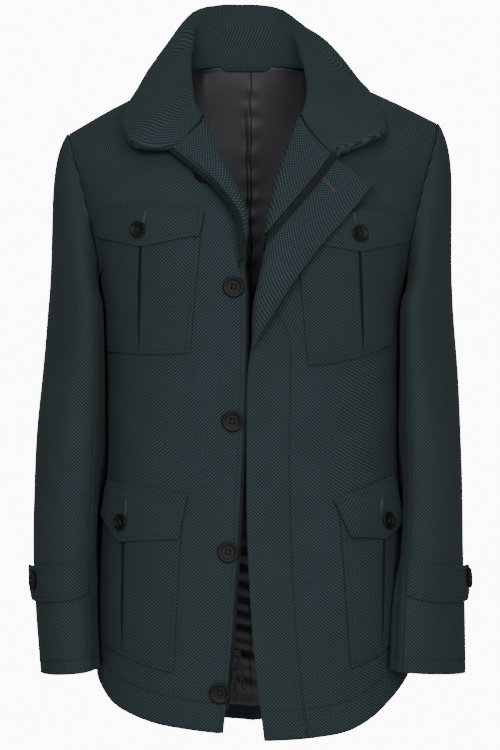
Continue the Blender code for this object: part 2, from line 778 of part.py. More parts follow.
def back_grid():
    """The outer face of the back, from the right side seam to the left one."""
    arm_rows = 8
    part = 1 - np.arange(arm_rows) / (arm_rows - 1)
    levels = np.array(SIDE_LEVELS)
    count = len(levels) + arm_rows
    right_angle, right_z = armhole(-1, part, True)
    left_angle, left_z = armhole(1, part, True)
    right = np.concatenate([np.full(len(levels), -math.pi / 2), right_angle]) + 2 * math.pi
    left = np.concatenate([np.full(len(levels), math.pi / 2), left_angle])
    u = np.linspace(0, 1, BACK_COLUMNS + 1)[None, :]
    v = (np.arange(count) / (count - 1))[:, None]
    angle = right[:, None] * (1 - u) + left[:, None] * u
    right_z = np.concatenate([levels, right_z])[:, None]
    left_z = np.concatenate([levels, left_z])[:, None]
    z = right_z * (1 - u) + left_z * u
    hem = hem_height(np.arctan2(np.sin(angle[:1]), np.cos(angle[:1])))
    z = z + (hem - z[:1]) * (1 - v) ** BACK_HEM_FADE
    right_x = np.linspace(-SHOULDER_X, neck[RIGHT_NECK_POINT][0], SHOULDER_STEPS + 1)
    left_x = np.linspace(neck[LEFT_NECK_POINT][0], SHOULDER_X, SHOULDER_STEPS + 1)
    y = np.full(SHOULDER_STEPS + 1, SHOULDER_Y + SHOULDER_GAP / 2)
    right_top = np.stack([right_x, y, ridge(right_x)], -1)
    left_top = np.stack([left_x, y, ridge(left_x)], -1)
    neck_steps = BACK_COLUMNS + 1 - 2 * SHOULDER_STEPS
    steps = np.linspace(RIGHT_NECK_POINT, LEFT_NECK_POINT, neck_steps)[1:-1]
    top = np.concatenate([right_top, along_points(neck, steps), left_top])
    top_angle = angle_at(top[:, 0], np.minimum(top[:, 2], ridge(top[:, 0])), True)
    top_angle = np.where(top_angle < 0, top_angle + 2 * math.pi, top_angle)
    angle = angle + (top_angle[None] - angle[-1:]) * v**TOP_FADE
    z = z + (top[:, 2][None] - z[-1:]) * v**TOP_FADE
    z = np.minimum(z, ridge(torso(angle, z)[..., 0]) - 0.2)
    on_neck = np.zeros(BACK_COLUMNS + 1)
    on_neck[SHOULDER_STEPS + 1 : -SHOULDER_STEPS - 1] = 1
    drop = SHOULDER_DROP + (NECK_DROP - SHOULDER_DROP) * on_neck
    angle, z, v = with_narrow_row(angle, z, v, drop)
    angle, z, top = (with_narrow_columns(array) for array in (angle, z, top.T))
    body = torso(angle, z)
    return body + (top.T[None] - body[-1:]) * (v**BACK_SEAM_FADE)[..., None]


def collar_end(master, near):
    """Points along a front's top row from where it folds to the zip, for the collar's end."""
    points, distances, _ = master
    start = distances[-1, FRONT_COLUMNS + 1]
    places = start + (near - start) * np.array(COLLAR_END)
    return read_row(points[-1], distances[-1], places)


def collar_grid():
    """The outer face of the collar: rows from seam to top edge, columns from right to left."""
    names = "seam base_x base_y base_z edge_x edge_y edge_z turn"
    rows = columns(names, COLLAR)
    seam = along_points(neck, rows["seam"])
    base = np.stack([rows["base_x"], rows["base_y"], rows["base_z"]], -1)
    edge = np.stack([rows["edge_x"], rows["edge_y"], rows["edge_z"]], -1)
    middle = np.array([-5.0, 0.0])
    outward = np.zeros_like(base)
    outward[:, :2] = base[:, :2] - middle
    outward = unit(outward) + np.array([0, 0, 0.25])
    heading = unit(np.cross(np.gradient(base, axis=0), outward)) * -1
    heading = np.where(heading[:, 2:] < 0, -heading, heading)
    outward = unit(outward)
    stand = [seam * (1 - t) + base * t for t in STAND_STEPS] + [base]
    rolled = fold(base, edge, heading, outward, rows["turn"], COLLAR_FOLD, COLLAR_RISE)
    grid = np.concatenate([np.stack(stand), np.moveaxis(rolled, 1, 0)])
    for column, master, near in ((0, right_master, 0.0), (-1, left_master, PLACKET_WIDTH)):
        end = collar_end(master, near)
        beside = grid[:, 1] if column == 0 else grid[:, -2]
        grid[:, column] = end + unit(beside - end) * COLLAR_END_GAP
    return grid


def torso_reach(y, z):
    """How far the body's face reaches to the side at y and z."""
    half_width = smooth(torso_sizes["height"], torso_sizes["half_width"], z)
    front = smooth(torso_sizes["height"], torso_sizes["front"], z)
    back = smooth(torso_sizes["height"], torso_sizes["back"], z)
    share = np.clip(abs(y) / np.where(y < 0, front, back), 0, 1)
    return half_width * (1 - share**SQUARENESS) ** (1 / SQUARENESS)


def sleeve_grid(side):
    """The outer face of a sleeve: rows from cuff to armhole, columns round it from the outer side."""
    rows = SLEEVE_LEFT if side > 0 else SLEEVE_RIGHT
    sizes = columns("height outer inner centre_y half_depth turn", rows)
    turn = np.radians(SLEEVE_TURNS)
    centre = side * (sizes["outer"] + sizes["inner"])[:, None] / 2
    half = (sizes["outer"] - sizes["inner"])[:, None] / 2
    x = centre + side * half * np.cos(turn)
    turned = turn - np.radians(sizes["turn"])[:, None]
    y = sizes["centre_y"][:, None] - sizes["half_depth"][:, None] * np.sin(turned)
    z = sizes["height"][:, None] - CUFF_SLOPE * half * np.cos(turn)
    tube = np.stack([x, y, z], -1)
    part = turn / math.pi
    before = torso(*armhole(side, np.clip(part, 0, 1), False))
    behind = torso(*armhole(side, np.clip(2 - part, 0, 1), True))
    loop = np.where((part <= 1)[:, None], before, behind)
    # The first rings run on from the body's face at the top and drop outside it under the arm.
    under = ((1 - np.cos(turn)) / 2)[:, None] ** 2
    facing = np.stack([side * np.ones_like(turn), -0.7 * np.sin(turn), np.zeros_like(turn)], -1)
    level = np.zeros_like(turn)
    along = np.stack([side * (0.6 + 0.4 * np.cos(turn)), level, level - 0.3], -1)
    out = unit(facing * under + along * (1 - under))
    ring = loop + out * SLEEVE_CLEAR * 0.5
    spread = side * (0.275 + 0.275 * np.cos(turn))
    away = unit(np.stack([spread, -0.3 * np.sin(turn), level - 0.83], -1))
    first = ring + unit(out * (1 - under) + away * under) * NARROW
    last = tube[0]
    reach = np.linalg.norm(last - first, axis=-1)[:, None]
    start = first + away * reach * 0.2
    down = tube[0] - tube[1]
    end = last + unit(down) * reach * 0.53
    cap = []
    for t in CAP_STEPS:
        ends = first * (1 - t) ** 3 + last * t**3
        cap.append(ends + 3 * start * t * (1 - t) ** 2 + 3 * end * t**2 * (1 - t))
    grid = np.concatenate([tube[::-1], np.stack(cap[::-1]), first[None], ring[None]])
    # It stays just clear of the body's side.
    beside = np.clip((75 - abs(grid[..., 2] - FLAP_LEVEL)) / 25, 0, 1)
    by_flap = beside * np.clip((5 - grid[..., 1]) / 20, 0, 1)
    clear = torso_reach(grid[..., 1], grid[..., 2]) + SLEEVE_CLEAR + FLAP_CLEAR * by_flap
    low = np.clip((UNDERARM + 8 - grid[..., 2]) / 8, 0, 1)
    short = np.maximum(clear - abs(grid[..., 0]), 0) * low
    grid[..., 0] += side * short
    return grid


def sleeve_parts(grid, side):
    """The upper sleeve's grid and directions, then the under sleeve's, parted at the two seams."""
    facing = grid_normals(grid, -side)
    facing[:, 0] = unit(facing[:, 0] + facing[:, -1])
    parts = []
    for values in (grid, facing):
        upper = np.concatenate([values[:, BACK_SEAM:-1], values[:, : FRONT_SEAM + 1]], axis=1)
        parts.append((upper, values[:, FRONT_SEAM : BACK_SEAM + 1]))
    half_gap = np.full((len(grid), 1), SLEEVE_SEAM_GAP / 2)
    half_gap[-SLEEVE_TOP_ROWS:] = SLEEVE_TOP_GAP / 2
    faces = [trimmed(face, left=half_gap, right=half_gap) for face in parts[0]]
    return zip(faces, parts[1])


def on_sleeve(grid, side, turn, height):
    """Points of a sleeve's own faces at degrees round it and heights, with their directions."""
    rows = SLEEVE_LEFT if side > 0 else SLEEVE_RIGHT
    levels = columns("height outer inner centre_y half_depth turn", rows)["height"][::-1]
    turn = np.asarray(turn, float) % 360
    row = np.interp(height, levels, np.arange(len(levels)))
    column = np.interp(turn, SLEEVE_TURNS, np.arange(len(SLEEVE_TURNS)))
    facing = grid_normals(grid, -side)
    return read_grid(grid, row, column), unit(read_grid(facing, row, column))


def read_grid(grid, row, column):
    """A grid's values at fractional rows and columns."""
    row = np.clip(row, 0, grid.shape[0] - 1.000001)
    column = np.clip(column, 0, grid.shape[1] - 1.000001)
    i = row.astype(int)
    j = column.astype(int)
    a = (row - i)[..., None]
    b = (column - j)[..., None]
    lower = grid[i, j] * (1 - b) + grid[i, j + 1] * b
    upper = grid[i + 1, j] * (1 - b) + grid[i + 1, j + 1] * b
    return lower * (1 - a) + upper * a


def tab_grid(sleeve, side):
    """The outer face of a cuff tab, from the sleeve's faces, moved out."""
    rows = columns("turn foot top proud", TAB)
    share = np.linspace(0, 1, TAB_ROWS)[:, None]
    height = rows["foot"] * (1 - share) + rows["top"] * share
    turn = np.broadcast_to(rows["turn"], height.shape)
    points, facing = on_sleeve(sleeve, side, turn, height)
    return points + facing * (TAB_GAP + CLOTH + rows["proud"])[None, :, None]


# ---------------------------------------------------------------- zip, facings and lining


def beyond_edge(edge, inner, facing, near, far):
    """A strip beside a run of edge points, square to it, between two distances beyond it."""
    path = unit(np.gradient(edge, axis=0))
    beyond = edge - inner
    for away in (path, facing):
        beyond = beyond - away * (beyond * away).sum(-1, keepdims=True)
    beyond = unit(beyond)
    grid = np.stack([edge + beyond * near, edge + beyond * far], 1)
    return grid, np.repeat(facing[:, None], 2, 1)


def tape_right_grid():
    """The right tape, beyond the front's edge and the collar's end."""
    points, _, facing = right_master
    edge = np.concatenate([points[:, -1], collar_face[-1, 1:3]])
    inner = np.concatenate([points[:, -2], collar_face[-2, 1:3]])
    directions = np.concatenate([facing[:, -1], grid_normals(collar_face, -1)[-1, 1:3]])
    width = np.full((len(edge), 1), TAPE_WIDTH)
    for row, share in CURLING_RIGHT.items():
        width[row] *= share
    grid, directions = beyond_edge(edge, inner, directions, TAPE_GAP, TAPE_GAP + width)
    share = (TAPE_FOOT - grid[0, 0, 2]) / (grid[1, 0, 2] - grid[0, 0, 2])
    grid[0] += (grid[1] - grid[0]) * share
    return grid, directions


def lining_grid(back):
    """The lining's face towards the cloth, inside the back, with a pleat and creases near its foot."""
    last = LINING_ROWS[-1]
    middle = (back.shape[1] - 1) / 2
    rows = np.concatenate([np.linspace(LINING_START, LINING_LOW_END, LINING_LOW_ROWS), LINING_ROWS])
    columns_at = middle + np.array(LINING_COLUMNS)
    row, column = np.meshgrid(rows, columns_at, indexing="ij")
    grid = read_grid(back, row, column)
    inward = -read_grid(back_sides, row, column)
    off_ends = np.minimum(row - rows[0], last - row)
    border = np.minimum(off_ends, np.minimum(column, 2 * middle - column))
    gap = LINING_EDGE_GAP + (LINING_GAP - LINING_EDGE_GAP) * np.clip(border, 0, 1)
    x = grid[..., 0]
    z = grid[..., 2]
    length = np.clip((z - PLEAT_END) / -PLEAT_END, 0, 1)
    across = np.clip(1 - abs(x - LINING_PLEAT_X) / LINING_PLEAT_HALF, 0, 1)
    swell = across * length * np.clip((20 - z) / 70, 0, 1)
    wave = np.sin((z + 0.08 * x) * 2 * math.pi / CREASE_LENGTH + 1.2 * np.sin(x / 47))
    low = np.clip((CREASE_TOP - z) / 40, 0, 1) * np.clip((190 - abs(x)) / 60, 0, 1)
    out = CLOTH + gap + LINING_PLEAT * swell + CREASE_DEPTH * (1 + wave) * low * np.clip(border, 0, 1)
    return grid + inward * out[..., None]


def patch_grid(lining):
    """The hanger patch, from the lining's points, moved in."""
    rows = columns("top_x top_z foot_x foot_z", PATCH)
    share = np.linspace(0, 1, 2)[:, None]
    x = rows["foot_x"] * (1 - share) + rows["top_x"] * share
    z = rows["foot_z"] * (1 - share) + rows["top_z"] * share
    steps = np.linspace(0, 1, 15)
    rows_down = lining.shape[0] - 1 - 1.5 * steps
    row, column = np.meshgrid(rows_down, np.linspace(4, 14, 41), indexing="ij")
    near = read_grid(lining, row, column).reshape(-1, 3)
    apart = (near[:, 0] - x[..., None]) ** 2 + (near[:, 2] - z[..., None]) ** 2
    found = near[apart.argmin(-1)]
    y = found[..., 1] - LINING_CLOTH - PATCH_GAP
    return np.stack([x, y - PATCH_WALL, z], -1)


# ---------------------------------------------------------------- pockets and flaps


def pocket_sizes(name):
    names = "x1 top1 x2 foot1 x3 top2 x4 foot2 sag pleat_top pleat_foot"
    return dict(zip(names.split(), POCKETS[POCKET_NAMES.index(name)]))


def pocket_lift(name, x, z):
    """How far a pocket's outer face stands off the front at x and z."""
    size = pocket_sizes(name)
    down = np.clip((size["top1"] - z) / (size["top1"] - size["foot1"]), 0, 1)
    left = size["x1"] + (size["x2"] - size["x1"]) * down
    right = size["x3"] + (size["x4"] - size["x3"]) * down
    across = np.clip((x - left) / (right - left), 0, 1)
    swell = np.sin(math.pi * across) ** 0.8 * (1 - down**3)
    return POCKET_GAP + PATCH_CLOTH + POCKET_SWELL * swell


def pocket_grid(name):
    """The outer face of a pocket, with its pleat down the middle."""
    size = pocket_sizes(name)
    down = np.linspace(1, 0, POCKET_ROWS + 1)[:, None]
    left = size["x1"] + (size["x2"] - size["x1"]) * down
    right = size["x3"] + (size["x4"] - size["x3"]) * down
    pleat = size["pleat_top"] + (size["pleat_foot"] - size["pleat_top"]) * down
    shares = np.array(POCKET_SIDE)
    near = left + (pleat - PLEAT_HALF - left) * shares
    far = right + (pleat + PLEAT_HALF - right) * shares[::-1]
    x = np.concatenate([near, pleat - PLEAT_HALF / 3, pleat + PLEAT_HALF / 3, far], axis=1)
    across = (x - left) / (right - left)
    top = size["top1"] + (size["top2"] - size["top1"]) * across
    foot = size["foot1"] + (size["foot2"] - size["foot1"]) * across
    foot = foot - size["sag"] * 4 * across * (1 - across)
    z = top + (foot - top) * down
    groove = np.zeros(x.shape[1])
    groove[len(shares) : len(shares) + 2] = PLEAT_DEPTH
    lift = pocket_lift(name, x, z) - groove * (1 - down) ** 0.5
    return on_chest(x, z, lift)


def flap_lift(name, x, z, share, proud):
    """How far a flap's outer face stands off: on the cloth at its seam, on the pocket below."""
    on_pocket = pocket_lift(name.replace("flap", "pocket"), x, z) + FLAP_GAP + CLOTH
    on_cloth = POCKET_GAP + CLOTH
    return on_cloth + (on_pocket - on_cloth) * np.clip(share * FLAP_STEP, 0, 1) + proud * share


def flap_grid(name):
    """The outer face of a flap, from its lower edge to its seam."""
    rows = columns("top_x top_z foot_x foot_z proud", FLAPS[name])
    count = len(FLAPS[name])
    at = np.unique(np.concatenate([np.arange(count), np.linspace(0, count - 1, FLAP_COLUMNS + 1)]))
    line = {key: np.interp(at, np.arange(count), values) for key, values in rows.items()}
    share = np.array(FLAP_ROWS)[::-1, None]
    x = line["top_x"] * (1 - share) + line["foot_x"] * share
    z = line["top_z"] * (1 - share) + line["foot_z"] * share
    return on_chest(x, z, flap_lift(name, x, z, share, line["proud"] * share))


# ---------------------------------------------------------------- hard pieces


def button(name, place, facing, radius):
    """A button turned about its own axis, its back at the place and its face along the direction."""
    mesh = bpy.data.meshes.new(name)
    points = [(share * radius * MM, 0.0, height * BUTTON_HEIGHT * MM) for share, height in BUTTON]
    mesh.from_pydata(points, [(i, i + 1) for i in range(len(points) - 1)], [])
    mesh.materials.append(HORN)
    piece = bpy.data.objects.new(name, mesh)
    jacket.objects.link(piece)
    turned = piece.modifiers.new("turned", "SCREW")
    turned.steps = BUTTON_STEPS
    turned.render_steps = BUTTON_STEPS
    turned.use_merge_vertices = True
    turned.merge_threshold = 1e-5
    facing = Vector(facing).normalized()
    piece.rotation_euler = facing.to_track_quat("Z", "Y").to_euler()
    piece.location = (Vector(place) + facing * BUTTON_LIFT) * MM
    return piece


def extruded(name, outline, holes, thickness, material):
    """A plate in the XZ plane with holes, filled between its outlines and given its thickness."""
    shape = bmesh.new()
    edges = []
    for ring in [outline, *holes]:
        verts = [shape.verts.new((x * MM, 0.0, z * MM)) for x, z in ring]
        edges += [shape.edges.new((verts[i - 1], verts[i])) for i in range(len(verts))]
    bmesh.ops.triangle_fill(shape, use_beauty=True, edges=edges)
    bmesh.ops.recalc_face_normals(shape, faces=shape.faces)
    mesh = bpy.data.meshes.new(name)
    shape.to_mesh(mesh)
    shape.free()
    mesh.materials.append(material)
    piece = bpy.data.objects.new(name, mesh)
    jacket.objects.link(piece)
    wall = piece.modifiers.new("wall", "SOLIDIFY")
    wall.thickness = thickness * MM
    wall.offset = 0.0
    return piece


def rectangle(width, top, foot, corner=0.0):
    """A rectangle's corners about x = 0, with cut corners where a size is given."""
    half_width = width / 2
    if not corner:
        return [(-half_width, foot), (half_width, foot), (half_width, top), (-half_width, top)]
    inner = half_width - corner
    return [
        (-inner, foot),
        (inner, foot),
        (half_width, foot + corner),
        (half_width, top - corner),
        (inner, top),
        (-inner, top),
        (-half_width, top - corner),
        (-half_width, foot + corner),
    ]


def zip_slider(name, place):
    """A slider's body with the bail that holds its pull."""
    width, depth, height = SLIDER_SIZE
    body = extruded(name, rectangle(width, height / 2, -height / 2, 1.6), [], depth, GUNMETAL)
    body.location = Vector(place) * MM
    inside = BAIL_REACH - BAIL_WALL
    half_bail = BAIL_HEIGHT / 2
    outer = [(-1.0, -half_bail), (BAIL_REACH - 0.8, -half_bail), (BAIL_REACH, -half_bail + 0.8)]
    outer += [(BAIL_REACH, half_bail - 0.8), (BAIL_REACH - 0.8, half_bail), (-1.0, half_bail)]
    rim = half_bail - BAIL_WALL
    inner = [(-1.0, rim), (inside, rim), (inside, -rim), (-1.0, -rim)]
    bail = extruded(name + "_bail", outer + inner, [], BAIL_WIDTH, GUNMETAL)
    bail.rotation_euler = (0, 0, -math.pi / 2)
    bail.location = (Vector(place) - Vector((0, depth / 2, 0))) * MM
    jacket.objects.unlink(bail)
    cutters.objects.link(bail)
    bail.hide_render = True
    bail.display_type = "WIRE"
    join = body.modifiers.new("bail", "BOOLEAN")
    join.operation = "UNION"
    join.solver = "EXACT"
    join.object = bail
    return body


def zip_pull(name, place, swing, length):
    """A pull hanging from a slider's bail, its origin on the bar that it turns about."""
    width, depth, height = SLIDER_SIZE
    bar = PULL_WALL / 2
    window_foot = -bar - PULL_WINDOW[1]
    window = rectangle(PULL_WINDOW[0], -bar, window_foot)
    slot_foot = bar - length + 3.0
    slot = rectangle(PULL_SLOT[0], slot_foot + PULL_SLOT[1], slot_foot)
    outline = rectangle(PULL_WIDTH, bar, bar - length, 0.9)
    plate = extruded(name, outline, [window, slot], PULL_WALL, GUNMETAL)
    tunnel = (BAIL_REACH - BAIL_WALL) / 2
    plate.location = (Vector(place) - Vector((0, depth / 2 + tunnel, 0))) * MM
    plate.rotation_euler = (0, -math.radians(swing), 0)
    return plate


jacket, cutters = start_scene()
WOOL = new_material("teal_wool", (0.012, 0.032, 0.034), 0.9)
SATIN = new_material("charcoal_satin", (0.02, 0.02, 0.022), 0.35)
TAPE_BLACK = new_material("zip_tape", (0.01, 0.01, 0.011), 0.8)
HORN = new_material("button_black", (0.02, 0.02, 0.022), 0.35)
GUNMETAL = new_material("gunmetal", (0.06, 0.06, 0.065), 0.35, 0.9)

right_master = front_master(front_rows(-1), 1)
left_master = front_master(front_rows(1), -1)
half = SEAM_GAP / 2
grid, facing = strip(left_master, 0, PLACKET_WIDTH - SEAM_GAP)
cloth("placket_left", grid, -1, CLOTH, WOOL, facing=facing)
cloth("front_right", trimmed(right_master[0], left=half), 1, CLOTH, WOOL, facing=right_master[2])
grid, facing = strip(left_master, PLACKET_WIDTH + SEAM_GAP, WHOLE)
cloth("front_left", trimmed(grid, left=half), -1, CLOTH, WOOL, facing=facing)
back_face = back_grid()
back_sides = upright_shoulder(back_face, grid_normals(back_face, -1))
cloth("back", trimmed(back_face, left=half, right=half), -1, CLOTH, WOOL, facing=back_sides)

collar_face = collar_grid()
inside = CLOTH + FACING_GAP
collar_sides = grid_normals(collar_face, -1)
cloth("collar", trimmed(collar_face, bottom=COLLAR_SEAM_GAP), -1, CLOTH, WOOL, facing=collar_sides)
inner_collar = trimmed(
    collar_face,
    left=COLLAR_FACING_IN,
    right=COLLAR_FACING_IN,
    bottom=COLLAR_FACING_IN,
    top=COLLAR_FACING_TOP,
)
cloth("collar_facing", inner_collar, -1, FACING_CLOTH, WOOL, inside, collar_sides)
grid, facing = strip(right_master, *FACING_RIGHT, snap=0.0)
grid = trimmed(grid[FACING_ROW_RIGHT:], bottom=FACING_FOOT, top=FACING_TOP)
cloth("facing_right", grid, 1, FACING_CLOTH, WOOL, inside, facing[FACING_ROW_RIGHT:])
near = np.full(len(left_master[0]), FACING_LEFT[0])
near[FACING_ROW_LEFT] = ROLLING_PLACE_LEFT
grid, facing = strip(left_master, near, FACING_LEFT[1], snap=0.0)
grid = trimmed(grid[FACING_ROW_LEFT:], bottom=FACING_FOOT, top=FACING_TOP)
depth = np.full((len(grid), 1, 1), inside + OVER_TAPE)
depth[0] += ROLLING_DEPTH
cloth("facing_left", grid, -1, FACING_CLOTH, WOOL, depth, facing[FACING_ROW_LEFT:])
grid, facing = tape_right_grid()
cloth("zip_tape_right", grid, 1, TAPE, TAPE_BLACK, TAPE_DEPTH, facing)
far = np.full(len(left_master[0]), TAPE_LEFT[1])
far[FACING_ROW_LEFT] = ROLLING_PLACE_LEFT
grid, facing = strip(left_master, TAPE_LEFT[0], far, snap=0.0)
depth = np.full((len(far), 1, 1), TAPE_DEPTH)
depth[FACING_ROW_LEFT - 1 : FACING_ROW_LEFT + 1] += ROLLING_DEPTH
cloth("zip_tape_left", trimmed(grid, top=TAPE_TOP), -1, TAPE, TAPE_BLACK, depth, facing)

lining_face = lining_grid(back_face)
cloth("lining_back", lining_face, -1, LINING_CLOTH, SATIN)
cloth("hanger_patch", patch_grid(lining_face), 1, PATCH_WALL, WOOL)

for side, hand in ((-1, "right"), (1, "left")):
    sleeve = sleeve_grid(side)
    for part, (grid, facing) in zip(("sleeve_upper_", "sleeve_under_"), sleeve_parts(sleeve, side)):
        cloth(part + hand, grid, -side, CLOTH, WOOL, facing=facing)
    cloth("cuff_tab_" + hand, tab_grid(sleeve, side), side, CLOTH, WOOL)
    turn, height = TAB_BUTTON_LEFT if side > 0 else TAB_BUTTON_RIGHT
    tab = tab_grid(sleeve, side)
    column = np.interp(-turn, [-row[0] for row in TAB], np.arange(len(TAB)))
    row = np.interp(height, tab[:, 5, 2], np.arange(TAB_ROWS))
    place = read_grid(tab, row, column)
    facing = unit(read_grid(grid_normals(tab, side), row, column))
    button("button_tab_" + hand, place, facing, LARGE_BUTTON)

for name in POCKET_NAMES:
    cloth(name, pocket_grid(name), 1, PATCH_CLOTH, WOOL)
for name, (x, z) in FLAP_BUTTONS.items():
    cloth(name, flap_grid(name), 1, CLOTH, WOOL)
    place = on_chest(x, z, flap_lift(name, x, z, FLAP_BUTTON_SHARE, 0.0))
    button(name.replace("flap", "button"), place, torso_normal(angle_at(x, z), z), SMALL_BUTTON)

for number, (x, z) in enumerate(FRONT_BUTTONS, 2):
    button(f"button_front_{number}", on_chest(x, z), torso_normal(angle_at(x, z), z), LARGE_BUTTON)
points = strip(right_master, HIDDEN_BUTTON_INSET, HIDDEN_BUTTON_INSET, 0.0)[0][:, 0]
row = np.interp(HIDDEN_BUTTON_Z, points[-6:, 2], np.arange(len(points))[-6:])
place = read_grid(points[:, None].repeat(2, 1), row, np.array(0.0))
facing = read_grid(grid_normals(right_master[0], 1)[:, -3:-1], row, np.array(0.0))
button("button_front_1", place + facing * HIDDEN_BUTTON_LIFT, facing, LARGE_BUTTON)

for name, (x, z, swing, length) in zip(SLIDER_NAMES, SLIDERS):
    front = on_chest(-SLIDER_SIZE[0] / 2 + x, z)[1] + TAPE_DEPTH - SLIDER_LIFT
    place = (x, front - SLIDER_SIZE[1] / 2, z)
    zip_slider("zip_slider_" + name, place)
    zip_pull("zip_pull_" + name, place, swing, length)
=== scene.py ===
"""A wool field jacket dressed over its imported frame: woven shells, lining, zip, buttons and sewing.

Frame: the tables are in millimetres and the meshes in metres. +X is the wearer's left, the front
faces -Y and +Z is up. Every cloth piece is a grid of points on its outer face, rows going up.
"""

import math

import bpy
import numpy as np
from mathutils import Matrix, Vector


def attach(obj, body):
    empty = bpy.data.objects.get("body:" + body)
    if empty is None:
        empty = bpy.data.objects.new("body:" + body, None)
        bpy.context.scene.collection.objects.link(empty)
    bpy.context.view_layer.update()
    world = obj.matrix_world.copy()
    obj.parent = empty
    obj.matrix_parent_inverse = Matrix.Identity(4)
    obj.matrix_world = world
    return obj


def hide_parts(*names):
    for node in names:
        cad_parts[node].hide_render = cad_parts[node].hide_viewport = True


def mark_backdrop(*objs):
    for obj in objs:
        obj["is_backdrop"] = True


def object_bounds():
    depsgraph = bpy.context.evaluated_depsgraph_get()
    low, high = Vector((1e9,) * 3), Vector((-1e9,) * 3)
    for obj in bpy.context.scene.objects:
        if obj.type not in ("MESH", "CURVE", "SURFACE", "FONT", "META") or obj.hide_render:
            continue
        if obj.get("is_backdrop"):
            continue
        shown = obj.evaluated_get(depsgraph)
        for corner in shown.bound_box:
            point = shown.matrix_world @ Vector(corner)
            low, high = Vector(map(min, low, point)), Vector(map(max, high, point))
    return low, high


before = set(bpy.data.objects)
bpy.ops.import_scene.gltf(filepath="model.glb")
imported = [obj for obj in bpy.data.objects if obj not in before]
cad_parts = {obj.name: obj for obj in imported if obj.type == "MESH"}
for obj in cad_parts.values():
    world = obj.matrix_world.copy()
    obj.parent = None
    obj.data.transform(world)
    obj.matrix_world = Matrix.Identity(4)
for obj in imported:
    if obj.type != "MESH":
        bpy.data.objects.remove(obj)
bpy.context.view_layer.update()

MM = 0.001

# Cloth and seams.
CLOTH = 2.0
FACING_CLOTH = 1.5
LINING_CLOTH = 1.2
PATCH_CLOTH = 1.6
TAPE = 1.2
SEAM_GAP = 0.4
# How far the collar's and the facings' borders are drawn in, and how far facings lie inside.
COLLAR_IN = 0.5
COLLAR_FACING_IN = 1.2
COLLAR_FACING_TOP = 1.0
FACING_TOP = 0.8
FACING_GAP = 1.2
OVER_TAPE = 1.7
# Past any row's length, so that a strip runs to the side seam.
WHOLE = 1000.0

# The torso: level, half width, and depths in front of and behind the shoulder line.
TORSO = [
    # height half_width front back
    (-800, 190, 134, 126),
    (-700, 190, 134, 125),
    (-620, 188, 131, 120),
    (-540, 184, 126, 110),
    (-440, 176, 122, 100),
    (-350, 178, 126, 104),
    (-280, 181, 131, 112),
    (-220, 190, 133, 116),
    (-170, 203, 131, 117),
    (-120, 218, 127, 116),
    (-60, 240, 122, 112),
    (80, 250, 120, 110),
]
SHOULDER = [
    # x height
    (-225, -59),
    (-175, -30),
    (-123, -3),
    (-86, 20),
    (-42, 44),
    (0, 52),
    (40, 45),
    (78, 23),
    (114, 6),
    (170, -19),
    (225, -46),
]
SQUARENESS = 2.4
SHOULDER_Y = 8.0
SHOULDER_GAP = 0.7
CHEST_LEVEL = -240.0
BLADE_LEVEL = -160.0
CHEST_ROUND = 1.8
BLADE_ROUND = 2.4
SHOULDER_X = 225.0
UNDERARM = -240.0
ARMHOLE_ROUND = 1.3

HEM = [
    # degrees right left
    (0, -776, -782),
    (30, -769, -778),
    (45, -763, -771),
    (55, -755, -757),
    (65, -744, -737),
    (75, -726, -721),
    (90, -711, -713),
    (120, -745, -747),
    (150, -783, -783),
    (180, -793, -793),
]

# Neck seam, from the right front round the back to the left front.
NECK_SEAM = [
    # x y z
    (-68, -78, -50),
    (-73, -66, -36),
    (-78, -50, -22),
    (-82, -30, -5),
    (-86, 8, 20),
    (-82, 34, 27),
    (-74, 52, 31),
    (-60, 64, 34),
    (-34, 73, 36),
    (-7, 76, 36),
    (20, 74, 36),
    (44, 66, 34),
    (60, 54, 32),
    (72, 34, 28),
    (78, 8, 23),
    (76, -28, -2),
    (73, -50, -18),
    (69, -66, -32),
    (65, -78, -48),
]
RIGHT_NECK_POINT = 4
LEFT_NECK_POINT = 14

# The opening's edges, from hem to neck: where the fold starts, where the edge ends, how far the
# edge stands off the chest, and how far the cloth has turned over (0 flat, 1 folded back).
OPENING_RIGHT = [
    # base_x base_z edge_x edge_z lift turn
    (-43, -776, -35, -776, 0, 0),
    (-38, -725, -30, -725, 0, 0),
    (-33, -670, -25, -670, 0, 0),
    (-29, -610, -21, -610, 0, 0),
    (-25, -545, -17, -545, 0, 0),
    (-22, -480, -14, -480, 0, 0),
    (-19, -415, -11, -415, 0, 0),
    (-17, -350, -9, -350, 0, 0),
    (-16, -300, -8, -300, 0, 0),
    (-16, -262, -8, -263, 0, 0),
    (-18, -234, -10, -238, 3, 0.1),
    (-20, -208, -13, -216, 7, 0.35),
    (-24, -184, -14, -193, 10, 0.7),
    (-29, -160, -18, -170, 11, 0.9),
    (-35, -136, -32, -148, 11, 1),
    (-44, -114, -46, -132, 10, 1),
    (-53, -94, -60, -119, 9, 1),
    (-61, -73, -78, -104, 8, 1),
    (-68, -50, -96, -89, 8, 1),
]
